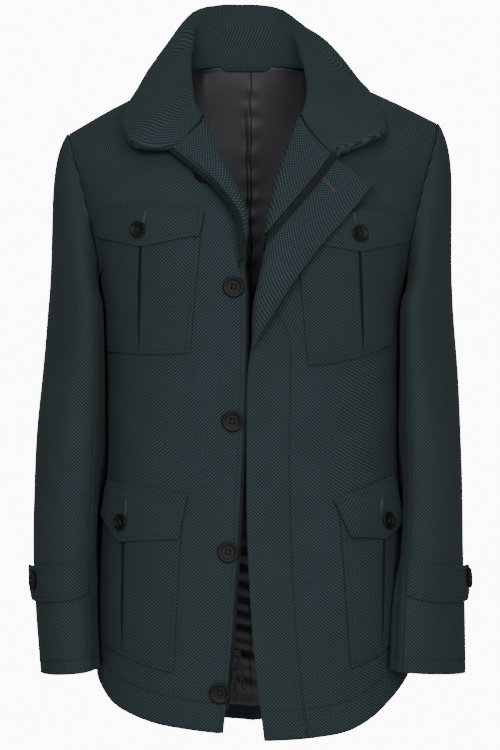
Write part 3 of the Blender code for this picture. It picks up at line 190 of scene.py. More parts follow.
OPENING_LEFT = [
    # base_x base_z edge_x edge_z lift turn
    (21, -782, 13, -782, 0, 0),
    (14, -724, 6, -724, 0, 0),
    (8, -670, 0, -670, 0, 0),
    (4, -608, -4, -608, 0, 0),
    (1, -546, -7, -546, 0, 0),
    (0, -480, -8, -480, 0, 0),
    (0, -415, -8, -415, 0, 0),
    (1, -362, -7, -364, 0, 0),
    (4, -330, -4, -336, 3, 0.1),
    (8, -306, 3, -317, 8, 0.45),
    (11, -282, 12, -300, 12, 0.8),
    (14, -258, 25, -278, 13, 1),
    (19, -228, 44, -248, 13, 1),
    (24, -198, 62, -223, 13, 1),
    (28, -168, 80, -201, 13, 1),
    (34, -138, 95, -184, 13, 1),
    (42, -110, 109, -168, 13, 1),
    (52, -82, 123, -151, 13, 1),
    (65, -48, 137, -131, 13, 1),
]
SIDE_LEVELS = (-711, -672, -630, -585, -535, -485, -435, -385, -338, -295, -264)
# The placket is the left front's strip beyond its zip.
PLACKET_WIDTH = 52.0
# How far a sleeve runs straight on from the armhole before its head curves.
NARROW = 2.5
# The back's columns, those along one shoulder, and its rows beside the armhole.
BACK_COLUMNS = 72
SHOULDER_STEPS = 24
ARM_ROWS = 8
# A face keeps this far below the shoulder line, where its two sides would meet.
BELOW_RIDGE = 0.2
# Columns of a front that lie on the body; those of its fold follow them.
BODY_SAMPLES = 48
# The share of a front's top row that runs along the shoulder; the rest follows the neck.
SHOULDER_SHARE = 0.64
# How fast the side's, hem's, shoulder's and seams' own lines fade out over the rows.
FRONT_HEM_FADE = 4
BACK_HEM_FADE = 3
TOP_FADE = 4
FRONT_SEAM_FADE = 30
BACK_SEAM_FADE = 40
FOLD_SAMPLES = 48
FOLD_CREST = 11.0
FOLD_START = 20.0
FOLD_REACH = 0.72
FRONT_RISE = 3
COLLAR_RISE = 1
COLLAR_FOLD = (0.14, 0.3, 0.46, 0.64, 0.82, 1.0)

# The collar's columns: seam point (a step along NECK_SEAM), where it turns over, its top edge.
COLLAR = [
    # seam base_x base_y base_z edge_x edge_y edge_z turn
    (0, -69, -76, -46, -102, -103, -90, 1),
    (1, -72, -69, -31, -117, -93, -78, 1),
    (2, -75, -56, -14, -130, -82, -66, 1),
    (3, -77, -34, 8, -137, -50, -43, 1),
    (3.5, -78, -14, 22, -132, -22, -20, 1),
    (4, -78, 6, 34, -122, 4, 3, 1),
    (5, -77, 34, 56, -108, 26, 38, 0.9),
    (6, -75, 52, 76, -92, 46, 72, 0.55),
    (7, -68, 66, 84, -78, 70, 97, 0.1),
    (8, -40, 82, 80, -46, 92, 110, 0),
    (9, -12, 88, 80, -16, 99, 112, 0),
    (10, 15, 86, 80, 12, 98, 111, 0),
    (11, 38, 78, 76, 36, 88, 105, 0),
    (12, 54, 62, 66, 60, 69, 86, 0.2),
    (13, 60, 36, 46, 86, 42, 56, 0.7),
    (14, 61, 6, 31, 110, 12, 12, 1),
    (14.5, 63, -14, 16, 122, -10, -7, 1),
    (15, 65, -34, 1, 134, -36, -32, 1),
    (16, 66, -54, -13, 138, -56, -50, 1),
    (17, 66, -68, -27, 131, -82, -66, 1),
    (18, 66, -76, -44, 101, -103, -93, 1),
]
# Fine steps between the collar's columns, rows of its stand and of what falls from the fold, and
# how many columns at each end follow the front.
COLLAR_STEPS = 6
COLLAR_STAND_ROWS = 9
COLLAR_FALL_ROWS = 30
COLLAR_END_COLUMNS = 9
# The collar leans outward from this middle of the neck, by this much upward.
COLLAR_MIDDLE = (-5.0, 0.0)
COLLAR_TILT = 0.25

# Sleeves: outer and inner reach from the front, centre and half depth from the side, and how far
# the inner side is turned forward.
SLEEVE_RIGHT = [
    # height outer inner centre_y half_depth turn
    (-290, 253, 181, -14, 72, 34),
    (-350, 258, 180, -14, 68, 28),
    (-420, 264, 181, -16, 64, 20),
    (-490, 266, 184, -22, 60, 15),
    (-560, 266, 187, -32, 57, 12),
    (-630, 262, 189, -46, 53, 14),
    (-707, 255, 187, -62, 49, 20),
]
SLEEVE_LEFT = [
    # height outer inner centre_y half_depth turn
    (-290, 248, 178, -16, 72, 40),
    (-350, 252, 178, -16, 68, 34),
    (-420, 254, 178, -20, 64, 26),
    (-490, 255, 180, -30, 60, 22),
    (-560, 255, 177, -44, 57, 28),
    (-630, 256, 170, -62, 52, 38),
    (-707, 256, 167, -72, 44, 42),
]
# Where a sleeve's two seams run, in degrees round it from its outer side by way of the front.
FRONT_SEAM_TURN = 144
BACK_SEAM_TURN = 234
# Sleeves stay this far off the body, and further beside the hip flaps.
SLEEVE_CLEAR = 1.6
FLAP_CLEAR = 10.0
FLAP_LEVEL = -520.0
FLAP_REACH = 75.0
FLAP_BACK_EDGE = -22.0
CUFF_SLOPE = 0.1

# The collar's end columns lie along the fronts' top rows at these shares of the folded cloth.
COLLAR_END = (0.0, 0.06, 0.12, 0.22, 0.36, 0.5, 0.66, 0.82, 1.0)

# Facings, as distances from a front's edge, and the zip's tape beside its line.
FACING_RIGHT = (2.5, 70.0)
FACING_LEFT = (60.0, 122.0)
# The facings show from these rows up.
FACING_ROW_RIGHT = 10
FACING_ROW_LEFT = 13
# The right tape narrows on the rows where the edge curls: row and share of its width.
CURLING_RIGHT = {10: 0.6, 11: 0.3, 12: 0.6}
TAPE_LEFT = (PLACKET_WIDTH + 0.8, PLACKET_WIDTH + 8.4)
TAPE_DEPTH = 3.3
TAPE_GAP = 1.4
TAPE_FOOT = -745.0

# Pockets: corners, how far the middle of the lower edge hangs, and the pleat's ends across.
POCKETS = [
    # x1 top1 x2 foot1 (left side), x3 top2 x4 foot2 (right side), sag pleat_top pleat_foot
    (-178, -169, -172, -326, -59, -169, -73, -328, 3, -129.5, -134),
    (49, -178, 64, -343, 176, -170, 165, -317, 6, 122, 129),
    (-174, -501, -174, -677, -82, -507, -93, -703, 3, -151, -154),
    (101, -512, 114, -699, 171, -490, 163, -672, 4, 154, 151),
]
POCKET_NAMES = ("pocket_chest_right", "pocket_chest_left", "pocket_hip_right", "pocket_hip_left")
POCKET_FINE_ROWS = 70
POCKET_HALF_COLUMNS = 34
PLEAT_COLUMNS = 7
POCKET_GAP = 0.7
POCKET_SWELL = 2.6

# Flaps, from the wearer's right to left: the top edge, the lower edge and how far it stands off.
FLAPS = {
    "flap_chest_right": [
        # top_x top_z foot_x foot_z proud
        (-187, -161, -183, -188, 1.0),
        (-176, -157, -171, -193, 0.5),
        (-160, -153.5, -152, -198, 0),
        (-137, -151, -129, -203.5, 0),
        (-114, -151.5, -106, -200, 0),
        (-92, -153, -85, -195.5, 0),
        (-74, -156.5, -70, -193.5, 0.3),
        (-56, -162, -62, -193, 0.8),
    ],
    "flap_chest_left": [
        # top_x top_z foot_x foot_z proud
        (50, -167, 56, -198, 0.5),
        (67, -162, 71, -201.5, 0),
        (85, -158.5, 87, -204.5, 0),
        (103, -156, 105, -207.5, 0),
        (121, -154.5, 122, -209.5, 0),
        (134, -153, 141, -206, 0),
        (147, -152.5, 158, -201, 0),
        (163, -156.5, 172, -197, 0.6),
        (177, -163, 179, -193, 1.4),
    ],
    "flap_hip_right": [
        # top_x top_z foot_x foot_z proud
        (-174, -481, -175, -521, 4.5),
        (-166, -481.5, -167, -534, 3.5),
        (-157, -483, -159, -547, 2.0),
        (-144, -484, -151, -552, 1.0),
        (-128, -486, -136, -550.5, 0),
        (-110, -488.5, -119, -549, 0),
        (-92, -491, -103, -548, 0.5),
        (-76, -493, -86, -546.5, 1.0),
    ],
    "flap_hip_left": [
        # top_x top_z foot_x foot_z proud
        (94, -499.5, 112, -545, 6.0),
        (105, -495.5, 122, -545.5, 4.0),
        (117, -491, 132, -546, 2.0),
        (129, -487, 142, -547.5, 0.8),
        (141, -483, 153, -549, 0),
        (151, -479, 161, -544, 0),
        (160, -475.5, 170, -537, 1.5),
        (166, -472.5, 175, -526, 4.0),
    ],
}
FLAP_GAP = 0.6
# A flap steps up onto its pocket over one part in this many of its height.
FLAP_STEP = 4.2
FLAP_BUTTON_SHARE = 0.75
FLAP_FINE_ROWS = 26
FLAP_FINE_COLUMNS = 70

# Cuff tabs on the sleeves' own grid: degrees round from the outer side, the levels of the lower
# and upper edges and how far the tab stands off.
TAB = [
    # turn foot top proud
    (142, -616, -573, 0),
    (126, -619, -575, 0),
    (108, -621, -577, 0),
    (90, -622, -578, 0),
    (72, -622, -578.5, 0),
    (54, -622, -579, 0),
    (36, -622, -579, 0),
    (18, -621.5, -579, 0.5),
    (4, -620, -579, 2.0),
    (-10, -604, -580, 6.0),
]
TAB_FINE_ROWS = 26
TAB_FINE_COLUMNS = 60
TAB_GAP = 0.6
TAB_BUTTON_RIGHT = (30, -600)
TAB_BUTTON_LEFT = (6, -599)

# Buttons: 25 mm across on the front and cuff tabs, 20 mm on the flaps.
BUTTON = [
    # radius height, from the middle of the face round to the back
    (0.0, 0.62),
    (0.58, 0.62),
    (0.74, 0.92),
    (0.9, 1.0),
    (1.0, 0.7),
    (0.94, 0.25),
    (0.5, 0.0),
    (0.0, 0.0),
]
BUTTON_HEIGHT = 3.4
LARGE_BUTTON = 12.4
SMALL_BUTTON = 10.0
BUTTON_LIFT = 0.9
FRONT_BUTTONS = [
    # x z
    (-22.5, -251),
    (-24, -408),
    (-29, -561),
    (-38.5, -725),
]
FLAP_BUTTONS = {
    # flap: x z
    "flap_chest_right": (-131, -184),
    "flap_chest_left": (122, -189),
    "flap_hip_right": (-151, -529),
    "flap_hip_left": (154.5, -527),
}
HIDDEN_BUTTON_Z = -115.0
HIDDEN_BUTTON_INSET = 1.0
HIDDEN_BUTTON_LIFT = 0.8
HIDDEN_BUTTON_ROWS = 6

# Back lining: its stand from the back, the centre pleat and the creases.
LINING_EDGE_GAP = 2.3
LINING_PLEAT_X = -3.0
LINING_PLEAT = 8.0
PLEAT_END = -430.0
CREASE_LENGTH = 33.0
CREASE_TOP = -660.0
CREASE_DEPTH = 1.6
CREASE_SIDE = 190.0

PATCH = [
    # top_x top_z foot_x foot_z of the hanger patch, from right to left
    (-44, 32.5, -33, 25),
    (-21, 33, -17, 24.5),
    (2, 33, 0, 24.5),
    (25, 32.5, 15, 25),
]
PATCH_WALL = 1.5
PATCH_GAP = 2.0

# Fineness of the dressed surfaces: steps between the tables' rows and columns across each piece.
# Then the edges' rounding, and the narrow gap and rounding of a sewn seam.
ROW_STEPS = 8
FRONT_RIGHT_COLUMNS = 120
FRONT_LEFT_COLUMNS = 116
PLACKET_COLUMNS = 30
FACING_RIGHT_COLUMNS = 46
FACING_LEFT_COLUMNS = 40
ROUND = 0.7
SEWN_GAP = 0.12
SEWN_ROUND = 0.35
TAPE_ROUND = 0.3
SLEEVE_COLUMNS = 100
SLEEVE_LEVELS = (-707.0, -290.0)
SLEEVE_ROWS = 90
CAP_ROWS = 21
# Behind, the sleeves lean on the body: the turn where they do it most, how many degrees to either
# side they do, the level down to which they do, the most that they move, and the gap that stays.
SLEEVE_LEANS_AT = 244.0
SLEEVE_LEANS_OVER = 70.0
SLEEVE_LEANS_TO = -780.0
SLEEVE_LEAN = 34.0
SLEEVE_TOUCH = 0.5
# Sleeves' creases are placed by turn, stretched by this to stand for mm.
TURN_STRETCH = 1.2
# Stitched lines, as distances from the border that each runs along.
TOPSTITCH = 5.5
EDGE_STITCH = 6.0
HEM_STITCH = 35.0
CUFF_STITCH = 16.0
PLACKET_STITCH = 45.0
PLACKET_EDGE_STITCH = 2.0
STITCH_PITCH = 3.1
STITCH_RADIUS = 0.27
STITCH_LIFT = 0.12
CUFF_STITCH_LIFT = 0.1
# The zip: its teeth, how much of the right tape shows past the cloth and lies under it, and the
# levels where the teeth end.
TOOTH_PITCH = 2.1
TAPE_SHOWN = 2.0
TAPE_HIDDEN = 8.0
TAPE_COLUMNS = 5
TEETH_FOOT = -676.0
TEETH_FOOT_LEFT = -330.0
# The weave's pitch in metres and its fibres' strength, and the wool's two shades, linear.
WEAVE_PITCH = 0.0042
WEAVE_FIBRE = 0.45
WOOL_DARK = (0.0052, 0.0088, 0.0100)
WOOL_LIGHT = (0.0320, 0.0500, 0.0555)
WOOL_SHEEN = 0.02
SATIN_DARK = (0.0115, 0.0112, 0.0135)
SATIN_LIGHT = (0.0260, 0.0252, 0.0310)
# Buttons: rings and spokes, and how far the holes lie from the middle and their size, as shares
# of the radius; their depth and the thread through them in mm.
BUTTON_RINGS = 44
BUTTON_SPOKES = 48
BUTTON_HOLE = 0.155
BUTTON_WELL = 0.085
BUTTON_WELL_DEPTH = 1.6
BUTTON_THREAD = 0.42
# Buttonholes: points round one, half its width, the cord's radius, how many turns of thread show
# and the radius of the slit's dark tube, which is painted shade in the cut.
SLIT_POINTS = 120
SLIT_HALF = 0.75
SLIT_CORD = 0.8
SLIT_BEADS = 34
SLIT_RADIUS = 0.55
KEYHOLE_HALF = 0.8
KEYHOLE_EYE = 1.1
KEYHOLE_CORD = 0.85
KEYHOLE_BEADS = 44
# Stage: the floor's level in mm, and the camera's focal length in pixels and place in metres.
FLOOR_Z = -1300.0
FLOOR_SHADE = 0.82
FOCAL = 2459.0
IMAGE_HEIGHT = 750
SENSOR = 36.0
CAMERA_PLACE = (-0.0035, -3.0, -0.354)
CAMERA_SEES_TO = 50.0
LIGHTS_AIM = (0, 0, -0.35)
WORLD = 0.2
BACKDROP = 11.0
BACKDROP_Y = 8000.0
LIGHTS = [
    # name place size power
    ("key", (-0.9, -3.4, 0.9), 1.6, 105.0),
    ("fill", (1.2, -3.4, 0.2), 1.6, 90.0),
    ("top", (0.0, -0.6, 2.2), 1.6, 20.0),
]

# The placket's keyhole buttonhole, from its straight end to its eye.
KEYHOLE = ((96.5, -139.9), (82.2, -122.5))

# A pocket's pleat: half its opening at the widest, and how deep its underlay lies.
PLEAT_OPEN = 1.8
PLEAT_SUNK = 3.0
# How far down its pocket a pleat stays open.
PLEAT_ENDS = 0.94

# How far the collar's facing runs on below the neck seam at the back.
COLLAR_ALLOWANCE = 7.0

# Creases, each from one point to another: x and z in mm (turn times 1.2 on sleeves), its bow, width
# and height, a trough where the height is below 0.
CREASES_RIGHT = [
    # x0 z0 x1 z1 bow width height
    (-205, -70, -120, -150, 8, 12, -1.2),
    (-212, -110, -150, -150, 4, 9, 1.0),
    (-200, -205, -185, -300, -6, 10, -1.4),
    (-190, -330, -110, -420, 10, 16, -1.6),
    (-180, -360, -90, -470, 12, 18, 1.4),
    (-120, -420, -50, -520, 10, 20, -1.0),
    (-100, -600, -60, -720, -8, 18, 1.2),
    (-180, -690, -120, -740, 6, 12, -1.0),
    (-60, -300, -45, -420, 5, 14, 0.8),
]
CREASES_LEFT = [
    # x0 z0 x1 z1 bow width height
    (205, -75, 130, -150, -8, 12, -1.2),
    (212, -120, 160, -150, -4, 9, 1.0),
    (185, -215, 175, -310, 6, 10, -1.4),
    (185, -330, 90, -430, -10, 16, -1.6),
    (180, -370, 70, -480, -12, 18, 1.4),
    (110, -430, 50, -540, -10, 20, -1.0),
    (60, -600, 45, -720, 8, 18, 1.1),
    (180, -690, 110, -745, -6, 12, -1.0),
    (50, -350, 40, -460, -5, 14, 0.8),
]
CREASES_BACK = [
    # x0 z0 x1 z1 bow width height
    (-190, -80, -90, -150, 8, 16, -1.6),
    (190, -90, 100, -160, -8, 16, -1.5),
    (-150, -300, -40, -370, 12, 20, 1.5),
    (150, -290, 30, -350, -12, 20, 1.3),
    (-160, -400, 20, -450, 14, 22, -1.8),
    (160, -430, 10, -500, -12, 22, 1.5),
    (-140, -560, -60, -700, -8, 20, 1.2),
    (120, -580, 70, -730, 8, 20, 1.0),
]
CREASES_LINING = [
    # x0 z0 x1 z1 bow width height
    (-60, -60, -50, -330, 8, 9, 1.2),
    (40, -80, 55, -300, -8, 10, 1.0),
    (-20, -300, 30, -420, 6, 9, 1.3),
    (25, -500, -25, -620, -6, 10, 1.4),
]
# The lining's grid: rows, even columns and the close ones by its centre seam.
LINING_FINE_ROWS = 230
LINING_FINE_COLUMNS = 86
LINING_SEAM_FINE = 33
# Its centre seam: its reach in columns, how far it wanders, how deep and how wide it is sewn.
LINING_SEAM_COLUMNS = 1.6
LINING_SEAM_WAVE = 0.9
LINING_SEAM_DEPTH = 1.6
LINING_SEAM_REACH = 1.3
# Its pleat's soft side and steep side, in mm from the seam, and the share of it that stands.
PLEAT_SOFT = 26.0
PLEAT_STEEP = 3.0
PLEAT_STANDS = 0.45
# Puckers beside the seam: their height and reach, and the level and run where they start.
PUCKER_HEIGHT = 0.7
PUCKER_REACH = 10.0
PUCKER_FOOT = -330.0
PUCKER_RISE = 120.0
# Crumples low down: the level where they start, their height and length, and how they wander.
CRUMPLE_TOP = -520.0
CRUMPLE_HEIGHT = 1.5
CRUMPLE_LENGTH = 19.0
CRUMPLE_WANDER = 37.0
CRUMPLE_SLANT = 11.0
CREASES_SLEEVE_RIGHT = [
    # turn z0 turn z1 bow width height
    (60, -150, 120, -300, 10, 14, -2.0),
    (20, -250, 90, -380, 8, 16, 1.8),
    (110, -380, 40, -470, 10, 13, -2.2),
    (20, -430, 120, -520, -8, 12, 1.8),
    (130, -520, 50, -570, 6, 10, -1.6),
    (250, -200, 330, -330, 8, 16, -2.0),
    (230, -400, 340, -470, 10, 14, 1.8),
    (330, -560, 250, -640, 8, 12, -1.6),
]
CREASES_SLEEVE_LEFT = [
    # turn z0 turn z1 bow width height
    (55, -160, 125, -290, 9, 13, -2.0),
    (25, -240, 95, -370, -8, 16, 1.7),
    (115, -370, 35, -450, 9, 13, -2.2),
    (25, -440, 110, -530, -9, 12, 1.8),
    (125, -530, 45, -580, 6, 10, -1.6),
    (250, -210, 335, -340, 8, 16, -1.9),
    (235, -390, 330, -480, 10, 14, 1.7),
    (325, -570, 255, -630, 8, 12, -1.5),
]
CREASES_POCKETS = [
    # x0 z0 x1 z1 bow width height
    (-170, -215, -100, -300, 8, 9, -0.5),
    (-75, -215, -110, -320, -6, 8, 0.5),
    (165, -215, 100, -310, -8, 9, -0.5),
    (-165, -560, -110, -670, 6, 9, -0.5),
    (165, -560, 120, -670, -6, 9, -0.5),
]


def columns(names, rows):
    """A table's rows as one array for each named column."""
    return dict(zip(names.split(), np.array(rows, float).T))


def smooth(places, values, at):
    """A curve through a table's values, level at each high and low, without overshoot."""
    places = np.asarray(places, float)
    values = np.asarray(values, float)
    at = np.clip(np.asarray(at, float), places[0], places[-1])
    step = np.diff(places)
    slope = np.diff(values) / step
    rate = np.concatenate([[slope[0]], (slope[1:] + slope[:-1]) / 2, [slope[-1]]])
    rate[np.concatenate([[False], slope[1:] * slope[:-1] <= 0, [False]])] = 0
    k = np.clip(np.searchsorted(places, at, "right") - 1, 0, len(step) - 1)
    t = (at - places[k]) / step[k]
    rise = t * t * (3 - 2 * t)
    start = rate[k] * (t - 2 * t**2 + t**3)
    end = rate[k + 1] * (t**3 - t**2)
    return values[k] + (values[k + 1] - values[k]) * rise + step[k] * (start + end)


def unit(vectors):
    length = np.linalg.norm(vectors, axis=-1, keepdims=True)
    return vectors / np.maximum(length, 1e-9)


torso_sizes = columns("height half_width front back", TORSO)
shoulder_line = columns("x height", SHOULDER)
hem_line = columns("degrees right left", HEM)


def ridge(x):
    """Height of the shoulder line above a place across the body."""
    return smooth(shoulder_line["x"], shoulder_line["height"], x)


def torso(angle, z):
    """A point of the body's outer face. The angle is 0 in front and 90 degrees at the left side."""
    angle, z = np.broadcast_arrays(np.asarray(angle, float), np.asarray(z, float))
    across = np.sin(angle)
    along = np.cos(angle)
    half_width = smooth(torso_sizes["height"], torso_sizes["half_width"], z)
    front = smooth(torso_sizes["height"], torso_sizes["front"], z)
    back = smooth(torso_sizes["height"], torso_sizes["back"], z)
    depth = np.where(along > 0, front, back)
    reach = (abs(across) / half_width) ** SQUARENESS + (abs(along) / depth) ** SQUARENESS
    reach = reach ** (-1 / SQUARENESS)
    x = reach * across
    top = ridge(x)
    level = np.where(along > 0, CHEST_LEVEL, BLADE_LEVEL)
    power = np.where(along > 0, CHEST_ROUND, BLADE_ROUND)
    below = np.clip((top - z) / (top - level), 0, 1)
    dome = (1 - (1 - below) ** power) ** (1 / power)
    y = SHOULDER_Y + (-reach * along - SHOULDER_Y) * dome
    return np.stack([x, y, z], -1)


def angle_at(x, z, behind=False):
    """The torso angle of the point at x across and z high."""
    half_width = smooth(torso_sizes["height"], torso_sizes["half_width"], z)
    depth = smooth(torso_sizes["height"], torso_sizes["back" if behind else "front"], z)
    share = abs(np.asarray(x, float)) / half_width
    y = depth * np.maximum(1 - share**SQUARENESS, 0) ** (1 / SQUARENESS)
    return np.arctan2(x, -y if behind else y)


def torso_normal(angle, z):
    """The outward direction of the body's face, from its slopes."""
    turn = torso(angle + 0.01, z) - torso(angle - 0.01, z)
    climb = torso(angle, z + 1.0) - torso(angle, z - 1.0)
    return unit(np.cross(turn, climb))


def on_chest(x, z, lift=0.0):
    """The point at x across and z high on the front of the body, lifted off it."""
    angle = angle_at(x, z)
    return torso(angle, z) + torso_normal(angle, z) * np.asarray(lift, float)[..., None]


def hem_height(angle):
    """Height of the hem at a torso angle."""
    degrees = abs(np.degrees(angle))
    left = smooth(hem_line["degrees"], hem_line["left"], degrees)
    right = smooth(hem_line["degrees"], hem_line["right"], degrees)
    blend = np.clip(0.5 + np.sin(angle) * 4, 0, 1)
    return right + (left - right) * blend


def along_points(points, at):
    """A smooth curve through 3D points, read at fractional steps along them."""
    points = np.asarray(points, float)
    steps = np.arange(len(points))
    return np.stack([smooth(steps, points[:, axis], at) for axis in range(3)], -1)


def grid_normals(grid, side):
    """Outward directions of a grid whose rows go up, with side 1 where columns run to +X."""
    up = np.gradient(grid, axis=0)
    along = np.gradient(grid, axis=1)
    return unit(np.cross(along, up)) * side


def trimmed(grid, left=0.0, right=0.0, bottom=0.0, top=0.0):
    """The grid with its outer rows and columns drawn in by these distances, to part the seams."""
    grid = grid.copy()
    grid[:, 0] += unit(grid[:, 1] - grid[:, 0]) * left
    grid[:, -1] += unit(grid[:, -2] - grid[:, -1]) * right
    grid[0] += unit(grid[1] - grid[0]) * bottom
    grid[-1] += unit(grid[-2] - grid[-1]) * top
    return grid


neck = np.array(NECK_SEAM, float)


def armhole(side, part, behind):
    """A point of the armhole, in front or behind: part 0 at the shoulder, 1 under the arm."""
    part = np.asarray(part, float)
    top = ridge(side * SHOULDER_X)
    z = top + (UNDERARM - top) * np.sin(part * math.pi / 2) ** ARMHOLE_ROUND
    if behind:
        start = angle_at(side * SHOULDER_X, top, True) * side
    else:
        start = angle_at(side * SHOULDER_X, top) * side
    angle = start + (math.pi / 2 - start) * part**6
    return side * angle, z


def fold(base, edge, heading, normal, turn, steps, rise):
    """Points from where the cloth leaves the body, over the fold, to its edge (a cubic curve).

    A part turned fold rises to its edge; rise says how fast its crest grows with the turn.
    """
    span = np.linalg.norm(edge - base, axis=-1, keepdims=True)
    turn = np.asarray(turn, float)[:, None]
    first = base + heading * (span / 3 * (1 - turn) + FOLD_START * turn) + normal * 2 * turn
    last = edge + heading * (-span / 3 * (1 - turn) + FOLD_REACH * span * turn)
    last = last + normal * FOLD_CREST * turn**rise
    t = np.array(steps)[None, :, None]
    base, first, last, edge = (points[:, None] for points in (base, first, last, edge))
    ends = base * (1 - t) ** 3 + edge * t**3
    return ends + 3 * first * t * (1 - t) ** 2 + 3 * last * t**2 * (1 - t)


def row_lengths(row):
    """Distance along a row of points from its last one, for each point from last to first."""
    return np.concatenate([[0], np.cumsum(np.linalg.norm(np.diff(row[::-1], axis=0), axis=1))])


def read_row(row, lengths, distances):
    """The points of a row at these distances; lengths are those of the row's own points."""
    order = np.argsort(lengths)
    row, lengths = row[order], lengths[order]
    return np.stack([np.interp(distances, lengths, row[:, axis]) for axis in range(3)], -1)


def upright_shoulder(points, facing):
    """Directions with those of the shoulder seam held in the seam's own plane, so that it parts."""
    on_seam = abs(points[-1, :, 1] - SHOULDER_Y) < SHOULDER_GAP
    level = unit(facing[-1] * np.array([1.0, 0.0, 1.0]))
    facing[-1] = np.where(on_seam[:, None], level, facing[-1])
    return facing


def read_grid(grid, row, column):
    """A grid's values at fractional rows and columns."""
    row = np.clip(row, 0, grid.shape[0] - 1.000001)
    column = np.clip(column, 0, grid.shape[1] - 1.000001)
    i = row.astype(int)
    j = column.astype(int)
    a = (row - i)[..., None]
    b = (column - j)[..., None]
    lower = grid[i, j] * (1 - b) + grid[i, j + 1] * b
    upper = grid[i + 1, j] * (1 - b) + grid[i + 1, j + 1] * b
    return lower * (1 - a) + upper * a


def torso_reach(y, z):
    """How far the body's face reaches to the side at y and z."""
    half_width = smooth(torso_sizes["height"], torso_sizes["half_width"], z)
    front = smooth(torso_sizes["height"], torso_sizes["front"], z)
    back = smooth(torso_sizes["height"], torso_sizes["back"], z)
    share = np.clip(abs(y) / np.where(y < 0, front, back), 0, 1)
    return half_width * (1 - share**SQUARENESS) ** (1 / SQUARENESS)


def beyond_edge(edge, inner, facing, near, far):
    """A strip beside a run of edge points, square to it, between two distances beyond it."""
    path = unit(np.gradient(edge, axis=0))
    beyond = edge - inner
    for away in (path, facing):
        beyond = beyond - away * (beyond * away).sum(-1, keepdims=True)
    beyond = unit(beyond)
    grid = np.stack([edge + beyond * near, edge + beyond * far], 1)
    return grid, np.repeat(facing[:, None], 2, 1)


# ---------------------------------------------------------------- fine surfaces


def spline(places, values, at):
    """A smooth curve through samples of any shape, with slopes from both neighbours of each."""
    shape = (-1,) + (1,) * (values.ndim - 1)
    step = np.diff(places)
    slope = np.diff(values, axis=0) / step.reshape(shape)
    share = (step[1:] / (step[1:] + step[:-1])).reshape(shape)
    rate = np.concatenate([slope[:1], slope[:-1] * share + slope[1:] * (1 - share), slope[-1:]])
    k = np.clip(np.searchsorted(places, at, "right") - 1, 0, len(step) - 1)
    t = ((at - places[k]) / step[k]).reshape(shape)
    width = step[k].reshape(shape)
    rise = t * t * (3 - 2 * t)
    bend = width * (rate[k] * (t - 2 * t**2 + t**3) + rate[k + 1] * (t**3 - t**2))
    return values[k] + (values[k + 1] - values[k]) * rise + bend


def chord(points):
    """Distance along each run of points from its start, for runs along the first axis."""
    length = np.linalg.norm(np.diff(points, axis=0), axis=-1)
    return np.concatenate([np.zeros((1,) + length.shape[1:]), np.cumsum(length, axis=0)])


def front_fine(side):
    """A front's outer face in fine rows and columns: body samples, then those of its fold."""
    rows = OPENING_LEFT if side > 0 else OPENING_RIGHT
    table = columns("base_x base_z edge_x edge_z lift turn", rows)
    count = len(rows)
    every = np.arange(count)
    steps = np.linspace(0, count - 1, (count - 1) * ROW_STEPS + 1)
    part = 1 - np.arange(count - len(SIDE_LEVELS)) / (count - len(SIDE_LEVELS) - 1)
    arm_angle, arm_z = armhole(side, part, False)
    side_angle = np.concatenate([np.full(len(SIDE_LEVELS), side * math.pi / 2), arm_angle])
    side_angle = smooth(every, side_angle, steps)
    side_z = smooth(every, np.concatenate([SIDE_LEVELS, arm_z]), steps)
    opening = {name: smooth(every, values, steps) for name, values in table.items()}
    base_angle = angle_at(opening["base_x"], opening["base_z"])
    u = np.linspace(0, 1, BODY_SAMPLES + 1)[None, :]
    v = (steps / (count - 1))[:, None]
    angle = side_angle[:, None] * (1 - u) + base_angle[:, None] * u
    z = side_z[:, None] * (1 - u) + opening["base_z"][:, None] * u
    z = z + (hem_height(angle[:1]) - z[:1]) * (1 - v) ** FRONT_HEM_FADE
    neck_step = int(BODY_SAMPLES * SHOULDER_SHARE)
    neck_point = LEFT_NECK_POINT if side > 0 else RIGHT_NECK_POINT
    neck_end = len(neck) - 1 if side > 0 else 0
    shoulder_x = np.linspace(side * SHOULDER_X, neck[neck_point][0], neck_step + 1)
    shoulder_y = np.full(neck_step + 1, SHOULDER_Y - SHOULDER_GAP / 2)
    shoulder = np.stack([shoulder_x, shoulder_y, ridge(shoulder_x)], -1)
    along_neck = np.linspace(neck_point, neck_end, BODY_SAMPLES - neck_step + 1)
    top = np.concatenate([shoulder[:-1], along_points(neck, along_neck)])
    top_z = top[:, 2][None, :]
    top_angle = angle_at(top[:, 0], np.minimum(top[:, 2], ridge(top[:, 0])))[None, :]
    angle = angle + (top_angle - angle[-1:]) * v**TOP_FADE
    z = z + (top_z - z[-1:]) * v**TOP_FADE
    z = np.minimum(z, ridge(torso(angle, z)[..., 0]) - BELOW_RIDGE)
    body = torso(angle, z)
    body = body + (top[None] - body[-1:]) * (v**FRONT_SEAM_FADE)[..., None]
    base = body[:, -1]
    normal = torso_normal(angle[:, -1], np.minimum(z[:, -1], -45))
    heading = unit(np.cross(np.gradient(base, axis=0), normal)) * -side
    edge = on_chest(opening["edge_x"], opening["edge_z"], opening["lift"])
    edge[0, 2] = base[0, 2]
    shares = np.linspace(0, 1, FOLD_SAMPLES + 1)[1:]
    folded = fold(base, edge, heading, normal, opening["turn"], shares, FRONT_RISE)
    return np.concatenate([body, folded], axis=1)


def strip_of(fine, near, far, count):
    """The strip of a front between two distances from its edge, with its distances."""
    cut = []
    places = []
    for row in fine:
        lengths = row_lengths(row)[::-1]
        end = min(far, lengths[0])
        wanted = np.linspace(end, near, count)
        cut.append(read_row(row, lengths, wanted))
        places.append(wanted)
    return np.stack(cut), np.stack(places)


